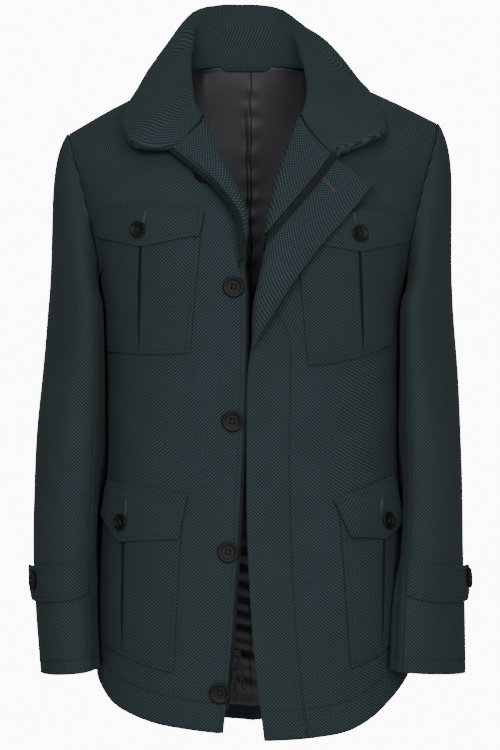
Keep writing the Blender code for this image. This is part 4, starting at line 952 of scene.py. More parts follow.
def back_fine():
    """The back's outer face in fine rows and columns, from the right side seam to the left one."""
    across = BACK_COLUMNS
    shoulder = SHOULDER_STEPS
    part = 1 - np.arange(ARM_ROWS) / (ARM_ROWS - 1)
    levels = np.array(SIDE_LEVELS)
    count = len(levels) + ARM_ROWS
    every = np.arange(count)
    steps = np.linspace(0, count - 1, (count - 1) * ROW_STEPS + 1)
    right_angle, right_z = armhole(-1, part, True)
    left_angle, left_z = armhole(1, part, True)
    right = np.concatenate([np.full(len(levels), -math.pi / 2), right_angle]) + 2 * math.pi
    left = np.concatenate([np.full(len(levels), math.pi / 2), left_angle])
    right, left = (smooth(every, values, steps) for values in (right, left))
    right_z, left_z = (
        smooth(every, np.concatenate([levels, values]), steps) for values in (right_z, left_z)
    )
    u = np.linspace(0, 1, across + 1)[None, :]
    v = (steps / (count - 1))[:, None]
    angle = right[:, None] * (1 - u) + left[:, None] * u
    z = right_z[:, None] * (1 - u) + left_z[:, None] * u
    hem = hem_height(np.arctan2(np.sin(angle[:1]), np.cos(angle[:1])))
    z = z + (hem - z[:1]) * (1 - v) ** BACK_HEM_FADE
    right_x = np.linspace(-SHOULDER_X, neck[RIGHT_NECK_POINT][0], shoulder + 1)
    left_x = np.linspace(neck[LEFT_NECK_POINT][0], SHOULDER_X, shoulder + 1)
    y = np.full(shoulder + 1, SHOULDER_Y + SHOULDER_GAP / 2)
    right_top = np.stack([right_x, y, ridge(right_x)], -1)
    left_top = np.stack([left_x, y, ridge(left_x)], -1)
    stops = np.linspace(RIGHT_NECK_POINT, LEFT_NECK_POINT, across + 1 - 2 * shoulder)[1:-1]
    top = np.concatenate([right_top, along_points(neck, stops), left_top])
    top_angle = angle_at(top[:, 0], np.minimum(top[:, 2], ridge(top[:, 0])), True)
    top_angle = np.where(top_angle < 0, top_angle + 2 * math.pi, top_angle)
    angle = angle + (top_angle[None] - angle[-1:]) * v**TOP_FADE
    z = z + (top[:, 2][None] - z[-1:]) * v**TOP_FADE
    z = np.minimum(z, ridge(torso(angle, z)[..., 0]) - BELOW_RIDGE)
    body = torso(angle, z)
    return body + (top[None] - body[-1:]) * (v**BACK_SEAM_FADE)[..., None]


def collar_fine(rights, lefts):
    """The collar's outer face in fine rows and columns; its ends lie along the fronts' top rows."""
    table = columns("seam base_x base_y base_z edge_x edge_y edge_z turn", COLLAR)
    every = np.arange(len(COLLAR))
    steps = np.linspace(0, len(COLLAR) - 1, (len(COLLAR) - 1) * COLLAR_STEPS + 1)
    row = {name: smooth(every, values, steps) for name, values in table.items()}
    seam = along_points(neck, row["seam"])
    base = np.stack([row["base_x"], row["base_y"], row["base_z"]], -1)
    edge = np.stack([row["edge_x"], row["edge_y"], row["edge_z"]], -1)
    outward = np.zeros_like(base)
    outward[:, :2] = base[:, :2] - np.array(COLLAR_MIDDLE)
    outward = unit(outward) + np.array([0, 0, COLLAR_TILT])
    heading = unit(edge - base)
    shares = np.linspace(0, 1, COLLAR_FALL_ROWS + 1)[1:]
    rolled = fold(base, edge, heading, unit(outward), row["turn"], shares, COLLAR_RISE)
    stand = [seam * (1 - t) + base * t for t in np.linspace(0, 1, COLLAR_STAND_ROWS)]
    grid = np.concatenate([np.stack(stand), np.moveaxis(rolled, 1, 0)])
    # Places along COLLAR_END: its first two steps are the stand's, the rest the fold's.
    stand_level = np.linspace(0, 2, COLLAR_STAND_ROWS)
    level = np.concatenate([stand_level, 2 + np.interp(shares, (0, *COLLAR_FOLD), range(7))])
    share = np.interp(level, np.arange(len(COLLAR_END)), COLLAR_END)
    for column, fine, near, step in ((0, rights, 0.0, 1), (-1, lefts, PLACKET_WIDTH, -1)):
        top = fine[-1]
        lengths = row_lengths(top)[::-1]
        start = lengths[BODY_SAMPLES]
        end = read_row(top, lengths, start + (near - start) * share)
        moved = end - grid[:, column]
        for k in range(COLLAR_END_COLUMNS):
            fade = (1 - k / COLLAR_END_COLUMNS) ** 2
            grid[:, column + k * step] += moved * fade
    return grid


def sleeve_fine(side):
    """A sleeve's outer face, rows from cuff to armhole, and columns at even turns round it."""
    rows = SLEEVE_LEFT if side > 0 else SLEEVE_RIGHT
    sizes = columns("height outer inner centre_y half_depth turn", rows)
    turn = np.radians(np.linspace(0, 360, SLEEVE_COLUMNS + 1))
    centre = side * (sizes["outer"] + sizes["inner"])[:, None] / 2
    half = (sizes["outer"] - sizes["inner"])[:, None] / 2
    x = centre + side * half * np.cos(turn)
    turned = turn - np.radians(sizes["turn"])[:, None]
    y = sizes["centre_y"][:, None] - sizes["half_depth"][:, None] * np.sin(turned)
    z = sizes["height"][:, None] - CUFF_SLOPE * half * np.cos(turn)
    tube = np.stack([x, y, z], -1)
    part = turn / math.pi
    before = torso(*armhole(side, np.clip(part, 0, 1), False))
    behind = torso(*armhole(side, np.clip(2 - part, 0, 1), True))
    loop = np.where((part <= 1)[:, None], before, behind)
    under = ((1 - np.cos(turn)) / 2)[:, None] ** 2
    facing = np.stack([side * np.ones_like(turn), -0.7 * np.sin(turn), np.zeros_like(turn)], -1)
    along = np.stack(
        [side * (0.6 + 0.4 * np.cos(turn)), np.zeros_like(turn), -0.3 * np.ones_like(turn)], -1
    )
    out = unit(facing * under + along * (1 - under))
    ring = loop + out * SEWN_GAP
    spread = side * (0.275 + 0.275 * np.cos(turn))
    away = unit(np.stack([spread, -0.3 * np.sin(turn), np.full_like(turn, -0.83)], -1))
    first = ring + unit(out * (1 - under) + away * under) * NARROW
    last = tube[0]
    reach = np.linalg.norm(last - first, axis=-1)[:, None]
    start = first + away * reach * 0.2
    end = last + unit(tube[0] - tube[1]) * reach * 0.53
    cap = []
    for t in np.linspace(0, 1, CAP_ROWS)[1:-1]:
        ends = first * (1 - t) ** 3 + last * t**3
        cap.append(ends + 3 * start * t * (1 - t) ** 2 + 3 * end * t**2 * (1 - t))
    heights = sizes["height"][::-1]
    levels = np.linspace(heights[0], heights[-1], SLEEVE_ROWS)
    lower = spline(heights, tube[::-1], levels)
    grid = np.concatenate([lower, np.stack(cap[::-1]), first[None], ring[None]])
    near = np.clip((FLAP_REACH - abs(grid[..., 2] - FLAP_LEVEL)) / 25, 0, 1)
    by_flap = near * np.clip((5 - grid[..., 1]) / 20, 0, 1)
    clear = torso_reach(grid[..., 1], grid[..., 2]) + SLEEVE_CLEAR + FLAP_CLEAR * by_flap
    low = np.clip((UNDERARM + 8 - grid[..., 2]) / 8, 0, 1)
    grid[..., 0] += side * np.maximum(clear - abs(grid[..., 0]), 0) * low
    off_lean = abs(np.degrees(turn) - SLEEVE_LEANS_AT) / SLEEVE_LEANS_OVER
    inner_back = np.clip(1.6 - 1.6 * off_lean, 0, 1)
    high = np.clip((grid[..., 2] - SLEEVE_LEANS_TO) / 60, 0, 1)
    past_flap = np.clip((FLAP_BACK_EDGE - grid[..., 1]) / 12, 0, 1) * near
    close = torso_reach(grid[..., 1], grid[..., 2]) + SLEEVE_TOUCH + FLAP_CLEAR * past_flap
    lean = np.clip(abs(grid[..., 0]) - close, 0, SLEEVE_LEAN) * inner_back[None, :] * high * low
    grid[..., 0] -= side * lean
    return grid


def creases(table, x, z):
    """Height of soft troughs and ridges, each between two points with a bow, fading at its ends.

    Across a crease the height is a bell curve of the named width; along it, a rounded arch.
    """
    total = np.zeros(np.broadcast(x, z).shape)
    for x0, z0, x1, z1, bow, width, height in table:
        run = np.array([x1 - x0, z1 - z0], float)
        length = np.hypot(*run)
        along = ((x - x0) * run[0] + (z - z0) * run[1]) / length**2
        share = np.clip(along, 0, 1)
        arch = 4 * share * (1 - share)
        across = ((x - x0) * run[1] - (z - z0) * run[0]) / length - bow * arch
        total = total + height * np.exp(-((across / width) ** 2)) * arch**0.8
    return total


def pocket_sizes(name):
    names = "x1 top1 x2 foot1 x3 top2 x4 foot2 sag pleat_top pleat_foot"
    return dict(zip(names.split(), POCKETS[POCKET_NAMES.index(name)]))


def pocket_lift(name, x, z):
    """How far a pocket's outer face stands off the front at x and z."""
    size = pocket_sizes(name)
    down = np.clip((size["top1"] - z) / (size["top1"] - size["foot1"]), 0, 1)
    left = size["x1"] + (size["x2"] - size["x1"]) * down
    right = size["x3"] + (size["x4"] - size["x3"]) * down
    across = np.clip((x - left) / (right - left), 0, 1)
    swell = np.sin(math.pi * across) ** 0.8 * (1 - down**3)
    return POCKET_GAP + PATCH_CLOTH + POCKET_SWELL * swell


def flap_lift(name, x, z, share, proud):
    """How far a flap's outer face stands off: on the cloth at its seam, on the pocket below."""
    on_pocket = pocket_lift(name.replace("flap", "pocket"), x, z) + FLAP_GAP + CLOTH
    on_cloth = POCKET_GAP + CLOTH
    return on_cloth + (on_pocket - on_cloth) * np.clip(share * FLAP_STEP, 0, 1) + proud * share


# ---------------------------------------------------------------- making pieces


def uv_of(grid):
    """Places on the cloth in metres: along the rows and up the columns."""
    across = chord(np.swapaxes(grid, 0, 1)).T
    up = chord(grid)
    middle = grid.shape[0] // 2
    u = across * 0.5 + across[middle][None] * 0.5
    return np.stack([u, up], -1) * MM


def mesh_from(name, points, faces, uv=None):
    """A mesh object at the origin from points in mm and quads; uv holds each point's place."""
    mesh = bpy.data.meshes.new(name)
    faces = np.asarray(faces, np.int32)
    mesh.vertices.add(len(points))
    mesh.vertices.foreach_set("co", (np.asarray(points) * MM).astype(np.float32).ravel())
    mesh.loops.add(faces.size)
    mesh.loops.foreach_set("vertex_index", faces.ravel())
    mesh.polygons.add(len(faces))
    mesh.polygons.foreach_set("loop_start", np.arange(len(faces), dtype=np.int32) * faces.shape[1])
    mesh.polygons.foreach_set("use_smooth", np.ones(len(faces), bool))
    if uv is not None:
        layer = mesh.uv_layers.new(name="cloth")
        layer.data.foreach_set("uv", uv[faces.ravel()].astype(np.float32).ravel())
    mesh.update(calc_edges=True)
    mesh.validate()
    piece = bpy.data.objects.new(name, mesh)
    bpy.context.scene.collection.objects.link(piece)
    return piece


def quads(rows, across, start=0):
    """The quads of a grid of points, numbered row by row from start."""
    index = start + np.arange(rows * across).reshape(rows, across)
    corners = [index[:-1, :-1], index[:-1, 1:], index[1:, 1:], index[1:, :-1]]
    return np.stack(corners, -1).reshape(-1, 4)


def border(rows, across):
    """Numbers of the points round a grid's border, in order."""
    index = np.arange(rows * across).reshape(rows, across)
    return np.concatenate([index[0], index[1:, -1], index[-1, -2::-1], index[-2:0:-1, 0]])


def shell(name, grid, side, wall, depth=0.0, facing=None, uv=None, sewn="", rounding=ROUND):
    """A cloth wall with rounded edges: outer face, a rim at half depth, and inner face.

    The border of both faces is drawn in by the rounding, and the rim keeps the grid's own border.
    The sides named in sewn, by the letters of left, right, bottom and top, are seams with less
    rounding.
    """
    if facing is None:
        facing = unit(grid_normals(grid, side))
    uv = uv_of(grid) if uv is None else uv
    rim = grid - facing * (depth + wall / 2)
    drawn = trimmed(grid, *[SEWN_ROUND if letter in sewn else rounding for letter in "lrbt"])
    outer = drawn - facing * depth
    inner = drawn - facing * (depth + wall)
    rows, across = grid.shape[:2]
    count = rows * across
    ring = border(rows, across)
    following = np.roll(ring, -1)
    edge = np.arange(len(ring)) + 2 * count
    edge_next = np.roll(edge, -1)
    faces = [quads(rows, across), quads(rows, across, count)[:, ::-1]]
    faces.append(np.stack([following, ring, edge, edge_next], -1))
    faces.append(np.stack([edge_next, edge, ring + count, following + count], -1))
    faces = np.concatenate(faces)
    if side < 0:
        faces = faces[:, ::-1]
    flat = rim.reshape(-1, 3)[ring]
    points = np.concatenate([outer.reshape(-1, 3), inner.reshape(-1, 3), flat])
    places = uv.reshape(-1, 2)
    return mesh_from(name, points, faces, np.concatenate([places, places, places[ring]]))


def dress(piece, material, *nodes, slot=None, body="garment"):
    """Gives a piece its finish and its body, and hides the frame nodes that it stands for."""
    piece.data.materials.append(material)
    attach(piece, body)
    if nodes:
        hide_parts(*nodes)
    return piece


def cloth(name, node, grid, side, wall, material, held="stretched", slot="teal_wool", **more):
    """A cloth piece over its node: made, finished and ridden."""
    piece = dress(shell(name, grid, side, wall, **more), material, node, slot=slot)
    return piece


def tube(path, radius, sides=6, closed=False):
    """The rings of a round cord through a run of points in mm, each square to the run."""
    path = np.asarray(path, float)
    if closed:
        ahead = unit(np.roll(path, -1, 0) - np.roll(path, 1, 0))
    else:
        ahead = unit(np.gradient(path, axis=0))
    lead = np.tile(np.array([0.31, 0.17, 0.93]), (len(path), 1))
    across = unit(np.cross(ahead, lead))
    above = np.cross(across, ahead)
    turn = np.linspace(0, 2 * math.pi, sides, endpoint=False)
    radius = np.broadcast_to(np.asarray(radius, float), len(path))[:, None, None]
    cosine, sine = np.cos(turn)[None, :, None], np.sin(turn)[None, :, None]
    return path[:, None] + radius * (across[:, None] * cosine + above[:, None] * sine)


def rings_mesh(rings, closed=False):
    """Points and quads of a run of rings, joined round, with open ends closed to their middles."""
    count, sides = rings.shape[:2]
    index = np.arange(count * sides).reshape(count, sides)
    if closed:
        index = np.concatenate([index, index[:1]])
    index = np.concatenate([index, index[:, :1]], axis=1)
    faces = np.stack([index[:-1, :-1], index[:-1, 1:], index[1:, 1:], index[1:, :-1]], -1)
    faces = faces.reshape(-1, 4)
    points = rings.reshape(-1, 3)
    if closed:
        return points, faces
    middles = np.stack([rings[0].mean(0), rings[-1].mean(0)])
    points = np.concatenate([points, middles])
    ends = []
    for centre, ring, turned in ((len(points) - 2, index[0], 1), (len(points) - 1, index[-1], -1)):
        for k in range(0, sides, 2):
            quad = [centre, ring[k + 2], ring[k + 1], ring[k]] if k + 2 <= sides else None
            ends.append(quad[::turned])
    return points, np.concatenate([faces, np.array(ends)])


# ---------------------------------------------------------------- finishes


def node_group(name, inputs, outputs):
    """An empty shader group with float or vector inputs and their defaults, and float outputs."""
    group = bpy.data.node_groups.new(name, "ShaderNodeTree")
    for label, value in inputs.items():
        kind = "NodeSocketFloat" if isinstance(value, float) else "NodeSocketVector"
        socket = group.interface.new_socket(label, in_out="INPUT", socket_type=kind)
        if isinstance(value, float):
            socket.default_value = value
    for label in outputs:
        group.interface.new_socket(label, in_out="OUTPUT", socket_type="NodeSocketFloat")
    entry = group.nodes.new("NodeGroupInput")
    leave = group.nodes.new("NodeGroupOutput")
    return group, entry, leave


def math_node(tree, operation, *values, clamp=False):
    """A math node whose inputs are sockets or numbers; returns its output."""
    node = tree.nodes.new("ShaderNodeMath")
    node.operation = operation
    node.use_clamp = clamp
    for socket, value in zip(node.inputs, values):
        if isinstance(value, (int, float)):
            socket.default_value = value
        else:
            tree.links.new(value, socket)
    return node.outputs[0]


def noise_of(tree, vector, scale, detail=2.0, rough=0.5):
    node = tree.nodes.new("ShaderNodeTexNoise")
    node.inputs["Scale"].default_value = scale
    node.inputs["Detail"].default_value = detail
    node.inputs["Roughness"].default_value = rough
    tree.links.new(vector, node.inputs["Vector"])
    return node.outputs["Fac"]


def birdseye_group():
    """Birdseye weave: dots where two crossed waves of the pitch agree, roughened by fibre noise.

    Dots = cos(2 pi x / pitch) cos(2 pi y / pitch), so the dots lie on diagonals.
    """
    inputs = {"Place": (0, 0, 0), "Pitch": WEAVE_PITCH, "Fibre": WEAVE_FIBRE}
    group, entry, leave = node_group("birdseye", inputs, ("Dots", "Cast", "Height"))
    wander = noise_of(group, entry.outputs["Place"], 40.0)
    parts = group.nodes.new("ShaderNodeSeparateXYZ")
    group.links.new(entry.outputs["Place"], parts.inputs[0])
    waves = []
    for axis in (0, 1):
        step = math_node(group, "DIVIDE", parts.outputs[axis], entry.outputs["Pitch"])
        step = math_node(group, "ADD", step, math_node(group, "MULTIPLY", wander, 0.4))
        waves.append(math_node(group, "COSINE", math_node(group, "MULTIPLY", step, 2 * math.pi)))
    cross = math_node(group, "MULTIPLY", waves[0], waves[1])
    fibre = noise_of(group, entry.outputs["Place"], 1900.0, 3.0, 0.65)
    fuzz = math_node(group, "SUBTRACT", fibre, 0.5)
    fuzz = math_node(group, "MULTIPLY", fuzz, entry.outputs["Fibre"])
    lifted = math_node(group, "ADD", math_node(group, "MULTIPLY", cross, 0.5), fuzz)
    dots = math_node(group, "POWER", math_node(group, "ADD", lifted, 0.5, clamp=True), 2.0)
    group.links.new(dots, leave.inputs["Dots"])
    cast = noise_of(group, entry.outputs["Place"], 14.0, 3.0, 0.6)
    group.links.new(cast, leave.inputs["Cast"])
    group.links.new(math_node(group, "MULTIPLY", dots, 0.00022), leave.inputs["Height"])
    return group


def sewn_group():
    """A sewn line: a soft trough in the cloth where one place coordinate meets the line."""
    inputs = {"At": 0.0, "Line": 0.007, "Reach": 0.0016, "Depth": 0.0005}
    group, entry, leave = node_group("sewn_line", inputs, ("Height",))
    away = math_node(group, "SUBTRACT", entry.outputs["At"], entry.outputs["Line"])
    away = math_node(group, "DIVIDE", away, entry.outputs["Reach"])
    square = math_node(group, "MULTIPLY", away, away)
    bell = math_node(group, "EXPONENT", math_node(group, "MULTIPLY", square, -1.0))
    sunk = math_node(group, "MULTIPLY", bell, entry.outputs["Depth"])
    group.links.new(math_node(group, "MULTIPLY", sunk, -1.0), leave.inputs["Height"])
    return group


def satin_group():
    """Satin: fine upright threads and slow shifts of shade."""
    inputs = {"Place": (0, 0, 0), "Thread": 0.0006}
    group, entry, leave = node_group("satin", inputs, ("Shade", "Height"))
    parts = group.nodes.new("ShaderNodeSeparateXYZ")
    group.links.new(entry.outputs["Place"], parts.inputs[0])
    step = math_node(group, "DIVIDE", parts.outputs[0], entry.outputs["Thread"])
    thread = math_node(group, "COSINE", math_node(group, "MULTIPLY", step, 2 * math.pi))
    stretched = group.nodes.new("ShaderNodeMapping")
    stretched.inputs["Scale"].default_value = (11.0, 4.0, 1.0)
    group.links.new(entry.outputs["Place"], stretched.inputs["Vector"])
    slow = noise_of(group, stretched.outputs[0], 1.0, 3.0)
    group.links.new(slow, leave.inputs["Shade"])
    fine = math_node(group, "MULTIPLY", thread, 0.00002)
    height = math_node(group, "ADD", fine, math_node(group, "MULTIPLY", slow, 0.0012))
    group.links.new(height, leave.inputs["Height"])
    return group


def wear_group():
    """Wear: fine scratches along one way and slow patches, for hard pieces."""
    inputs = {"Place": (0, 0, 0), "Grain": 900.0}
    group, entry, leave = node_group("wear", inputs, ("Patch", "Height"))
    stretched = group.nodes.new("ShaderNodeMapping")
    stretched.inputs["Scale"].default_value = (1.0, 1.0, 0.12)
    group.links.new(entry.outputs["Place"], stretched.inputs["Vector"])
    node = group.nodes.new("ShaderNodeTexNoise")
    node.inputs["Detail"].default_value = 3.0
    group.links.new(stretched.outputs[0], node.inputs["Vector"])
    group.links.new(entry.outputs["Grain"], node.inputs["Scale"])
    group.links.new(node.outputs["Fac"], leave.inputs["Patch"])
    height = math_node(group, "MULTIPLY", node.outputs["Fac"], 0.00006)
    group.links.new(height, leave.inputs["Height"])
    return group


def new_material(name, roughness, metallic=0.0, sheen=0.0, specular=0.5):
    """A Principled finish, with its tree and shader."""
    material = bpy.data.materials.new(name)
    material.use_nodes = True
    tree = material.node_tree
    shader = tree.nodes["Principled BSDF"]
    shader.inputs["Roughness"].default_value = roughness
    shader.inputs["Metallic"].default_value = metallic
    shader.inputs["Sheen Weight"].default_value = sheen
    shader.inputs["Sheen Roughness"].default_value = 0.45
    shader.inputs["Specular IOR Level"].default_value = specular
    return material, tree, shader


def group_node(tree, group, **values):
    node = tree.nodes.new("ShaderNodeGroup")
    node.node_tree = group
    for label, value in values.items():
        node.inputs[label].default_value = value
    return node


def mixed(tree, share, dark, light):
    """Two colours mixed by a share."""
    node = tree.nodes.new("ShaderNodeMix")
    node.data_type = "RGBA"
    node.inputs[6].default_value = (*dark, 1.0)
    node.inputs[7].default_value = (*light, 1.0)
    tree.links.new(share, node.inputs[0])
    return node.outputs[2]


def bumped(tree, shader, height):
    """The height, in metres, as a bump of the shader's normal."""
    bump = tree.nodes.new("ShaderNodeBump")
    bump.inputs["Strength"].default_value = 1.0
    bump.inputs["Distance"].default_value = 1.0
    tree.links.new(height, bump.inputs["Height"])
    tree.links.new(bump.outputs[0], shader.inputs["Normal"])


def cloth_place(tree):
    """The places on the cloth, in metres."""
    place = tree.nodes.new("ShaderNodeUVMap")
    place.uv_map = "cloth"
    return place.outputs[0]


def wool(name, lines=(), shade=1.0):
    """The jacket's wool: birdseye dots on a darker ground, with sewn lines across or up the cloth.

    Each line is (0 for across or 1 for up, its distance from the cloth's start in mm).
    """
    material, tree, shader = new_material(name, 0.92, sheen=WOOL_SHEEN, specular=0.12)
    place = cloth_place(tree)
    weave = group_node(tree, BIRDSEYE)
    tree.links.new(place, weave.inputs["Place"])
    dark = tuple(shade * value for value in WOOL_DARK)
    light = tuple(shade * value for value in WOOL_LIGHT)
    base = mixed(tree, weave.outputs["Dots"], dark, light)
    cast = math_node(tree, "ADD", math_node(tree, "MULTIPLY", weave.outputs["Cast"], 0.3), 0.85)
    toned = tree.nodes.new("ShaderNodeVectorMath")
    toned.operation = "SCALE"
    tree.links.new(base, toned.inputs[0])
    tree.links.new(cast, toned.inputs["Scale"])
    tree.links.new(toned.outputs[0], shader.inputs["Base Color"])
    height = weave.outputs["Height"]
    if lines:
        parts = tree.nodes.new("ShaderNodeSeparateXYZ")
        tree.links.new(place, parts.inputs[0])
        for axis, line in lines:
            sewn = group_node(tree, SEWN, Line=line * MM)
            tree.links.new(parts.outputs[axis], sewn.inputs["At"])
            height = math_node(tree, "ADD", height, sewn.outputs[0])
    bumped(tree, shader, height)
    return material


def satin():
    """The lining's satin."""
    material, tree, shader = new_material("charcoal_satin_cloth", 0.5, specular=0.4)
    threads = group_node(tree, SATIN_THREADS)
    tree.links.new(cloth_place(tree), threads.inputs["Place"])
    colour = mixed(tree, threads.outputs["Shade"], SATIN_DARK, SATIN_LIGHT)
    tree.links.new(colour, shader.inputs["Base Color"])
    bumped(tree, shader, threads.outputs["Height"])
    return material


def hard(name, dark, light, roughness, metallic=0.0, grain=2500.0, specular=0.3):
    """A worn finish between two greys or colours, on the piece's own coordinates."""
    material, tree, shader = new_material(name, roughness, metallic, specular=specular)
    place = tree.nodes.new("ShaderNodeTexCoord")
    worn = group_node(tree, WEAR, Grain=grain)
    tree.links.new(place.outputs["Object"], worn.inputs["Place"])
    tree.links.new(mixed(tree, worn.outputs["Patch"], dark, light), shader.inputs["Base Color"])
    rough = math_node(tree, "MULTIPLY_ADD", worn.outputs["Patch"], 0.25, roughness - 0.12)
    tree.links.new(rough, shader.inputs["Roughness"])
    bumped(tree, shader, worn.outputs["Height"])
    return material


# ---------------------------------------------------------------- sewing


def column_line(grid, distance, from_top=False):
    """The line across a grid that lies this far up each of its columns."""
    if from_top:
        grid = grid[::-1]
    lengths = chord(grid)
    return np.stack([read_row(grid[:, j], lengths[:, j], distance) for j in range(grid.shape[1])])


def row_line(grid, distance, from_end=False):
    """The line up a grid that lies this far along each of its rows."""
    turned = np.swapaxes(grid, 0, 1)
    return column_line(turned, distance, from_end)


def read_run(values, lengths, at):
    """A run's values at these distances along it; lengths are the distances of its own points."""
    return np.stack([np.interp(at, lengths, values[:, axis]) for axis in range(3)], -1)


# Each stitch's four rings: its place along the pitch, its thickness and its height, as shares.
STITCH = ((-0.4, 0.4, -0.8), (-0.26, 1.0, 0.3), (0.26, 1.0, 0.3), (0.4, 0.4, -0.8))
STITCHES = []


def sew(path, facing, lift=STITCH_LIFT):
    """Adds a run of stitches to the thread: four-sided bars, thin and sunk at both ends."""
    facing = np.broadcast_to(facing, path.shape)
    lengths = chord(path)
    count = max(int(lengths[-1] / STITCH_PITCH), 2)
    at = (np.arange(count) + 0.5) * lengths[-1] / count
    centre = read_run(path, lengths, at)
    ahead = unit(read_run(path, lengths, at + 0.3) - read_run(path, lengths, at - 0.3))
    out = unit(read_run(facing, lengths, at))
    across = unit(np.cross(ahead, out))
    rings = []
    for along, thick, high in STITCH:
        middle = centre + ahead * along * STITCH_PITCH + out * (lift + high * STITCH_RADIUS)
        for a, b in ((1, 0), (0, 1), (-1, 0), (0, -1)):
            rings.append(middle + (across * a + out * b) * STITCH_RADIUS * thick)
    STITCHES.append(np.stack(rings, 1))


def sew_edges(grid, sides, edges, lift=STITCH_LIFT):
    """Stitches beside a grid's borders, named by the letters of left, right, bottom and top."""
    for letter in edges:
        far = letter in "rt"
        inside = -3 if far else 2
        if letter in "lr":
            sew(row_line(grid, EDGE_STITCH, far), sides[:, inside], lift)
        else:
            sew(column_line(grid, EDGE_STITCH, far), sides[inside], lift)


def sewn_thread(name, material, slot):
    """One piece of all the stitches gathered so far."""
    bars = np.concatenate(STITCHES)
    STITCHES.clear()
    one = []
    for ring in range(3):
        for k in range(4):
            a = ring * 4 + k
            b = ring * 4 + (k + 1) % 4
            one.append((a, a + 4, b + 4, b))
    one += [(0, 1, 2, 3), (15, 14, 13, 12)]
    faces = (np.arange(len(bars))[:, None, None] * 16 + np.array(one)[None]).reshape(-1, 4)
    piece = mesh_from(name, bars.reshape(-1, 3), faces[:, ::-1])
    return dress(piece, material, slot=slot)


def bead_loop(name, path, radius, beads):
    """A buttonhole: a cord round its slit, a dark tube of painted shade; the cord's thickness waves with
    each turn of thread.
    """
    steps = np.arange(len(path))
    swell = radius * (1 + 0.22 * np.sin(steps * 2 * math.pi * beads / len(path)))
    middle = ((path + np.roll(path[::-1], 1, axis=0)) / 2)[: len(path) // 2]
    # The slit: a dark tube down the middle, painted shade in the cut.
    slit = mesh_from(name + "_slit_painted_shade", *rings_mesh(tube(middle[2:-2], SLIT_RADIUS)))
    dress(slit, BLACK_THREAD_AND_SLIT_SHADE, slot="teal_wool")
    loop = mesh_from(name, *rings_mesh(tube(path, swell, 8, closed=True), closed=True))
    dress(loop, THREAD_BROWN, slot="teal_wool")


def ring_mean(values):
    """Values round a closed loop, each with the mean of the thirteen about it."""
    return np.convolve(np.concatenate([values[-6:], values, values[:6]]), np.ones(13) / 13, "valid")


def nearest_depth(points, path):
    """The depths (y) of the points that lie nearest to a path of x and z."""
    apart = (points[:, 0] - path[:, :1]) ** 2 + (points[:, 2] - path[:, 1:]) ** 2
    return points[apart.argmin(1), 1]


def slit_path(start, end, half, eye=0.0):
    """A long loop round a slit from start to end in x and z; an eye makes its far end rounder."""
    turn = np.linspace(0, 2 * math.pi, SLIT_POINTS, endpoint=False)
    run = np.array(end, float) - np.array(start, float)
    length = np.hypot(*run)
    run = run / length
    side = np.array([-run[1], run[0]])
    along = 0.5 - 0.5 * np.cos(turn)
    away = half * np.sign(np.sin(turn)) * np.minimum(abs(np.sin(turn)) * 3.5, 1)
    away = away + eye * np.sin(turn) * np.exp(-(((along - 0.86) / 0.16) ** 2))
    return np.array(start)[None] + run * (along * length)[:, None] + side * away[:, None]


# ---------------------------------------------------------------- hard pieces


def button_piece(name, node, place, facing, radius):
    """A four-hole button: rings turned about its axis, four wells in its face, and crossed threads.

    The face's height comes from the button's profile; each well takes a bell of the depth away.
    """
    profile = np.array(BUTTON)
    reach = chord(profile)
    at = np.linspace(0, reach[-1], BUTTON_RINGS)
    share = np.interp(at, reach, profile[:, 0])
    height = np.interp(at, reach, profile[:, 1])
    turn = np.linspace(0, 2 * math.pi, BUTTON_SPOKES, endpoint=False)
    x = share[1:-1, None] * radius * np.cos(turn)
    y = share[1:-1, None] * radius * np.sin(turn)
    z = np.broadcast_to(height[1:-1, None] * BUTTON_HEIGHT, x.shape).copy()
    upper = at[1:-1, None] < reach[4]
    hole = BUTTON_HOLE * radius
    for a, b in ((1, 1), (-1, 1), (-1, -1), (1, -1)):
        apart = np.hypot(x - a * hole, y - b * hole) / (radius * BUTTON_WELL)
        z -= np.where(upper, BUTTON_WELL_DEPTH * np.exp(-(apart**4)), 0)
    facing = unit(np.array(facing, float))
    across = unit(np.cross(facing, np.array([0.08, 0, 1.0])))
    above = np.cross(across, facing)
    centre = np.array(place) + facing * BUTTON_LIFT

    def placed(x, y, z):
        return centre + x[..., None] * across + y[..., None] * above + z[..., None] * facing

    rings = placed(x, y, z)
    count, spokes = x.shape
    index = np.arange(count * spokes).reshape(count, spokes)
    index = np.concatenate([index, index[:, :1]], axis=1)
    corners = [index[:-1, :-1], index[1:, :-1], index[1:, 1:], index[:-1, 1:]]
    faces = [np.stack(corners, -1).reshape(-1, 4)]
    poles = placed(np.zeros(2), np.zeros(2), np.array([height[0], height[-1]]) * BUTTON_HEIGHT)
    points = np.concatenate([rings.reshape(-1, 3), poles])
    first = np.arange(0, spokes, 2)
    low = np.full(len(first), count * spokes)
    faces.append(np.stack([low, index[0, first], index[0, first + 1], index[0, first + 2]], -1))
    last = index[-1]
    faces.append(np.stack([low + 1, last[first + 2], last[first + 1], last[first]], -1))
    dress(mesh_from(name, points, np.concatenate(faces)), HORN, node, slot="button_black")
    t = np.linspace(0, 1, 9)
    arch = np.sin(math.pi * t)
    threads = []
    for a, b, c, d in ((1, 1, -1, -1), (-1, 1, 1, -1)):
        path_x = hole * (a + (c - a) * t)
        path_y = hole * (b + (d - b) * t)
        path_z = height[0] * BUTTON_HEIGHT + 0.5 * arch**0.5 - 0.7 * (1 - arch)
        threads.append(rings_mesh(tube(placed(path_x, path_y, path_z), BUTTON_THREAD)))
    points = np.concatenate([points for points, _ in threads])
    faces = np.concatenate([threads[0][1], threads[1][1] + len(threads[0][0])])
    dress(mesh_from(name + "_thread", points, faces), BLACK_THREAD_AND_SLIT_SHADE, slot="teal_wool")


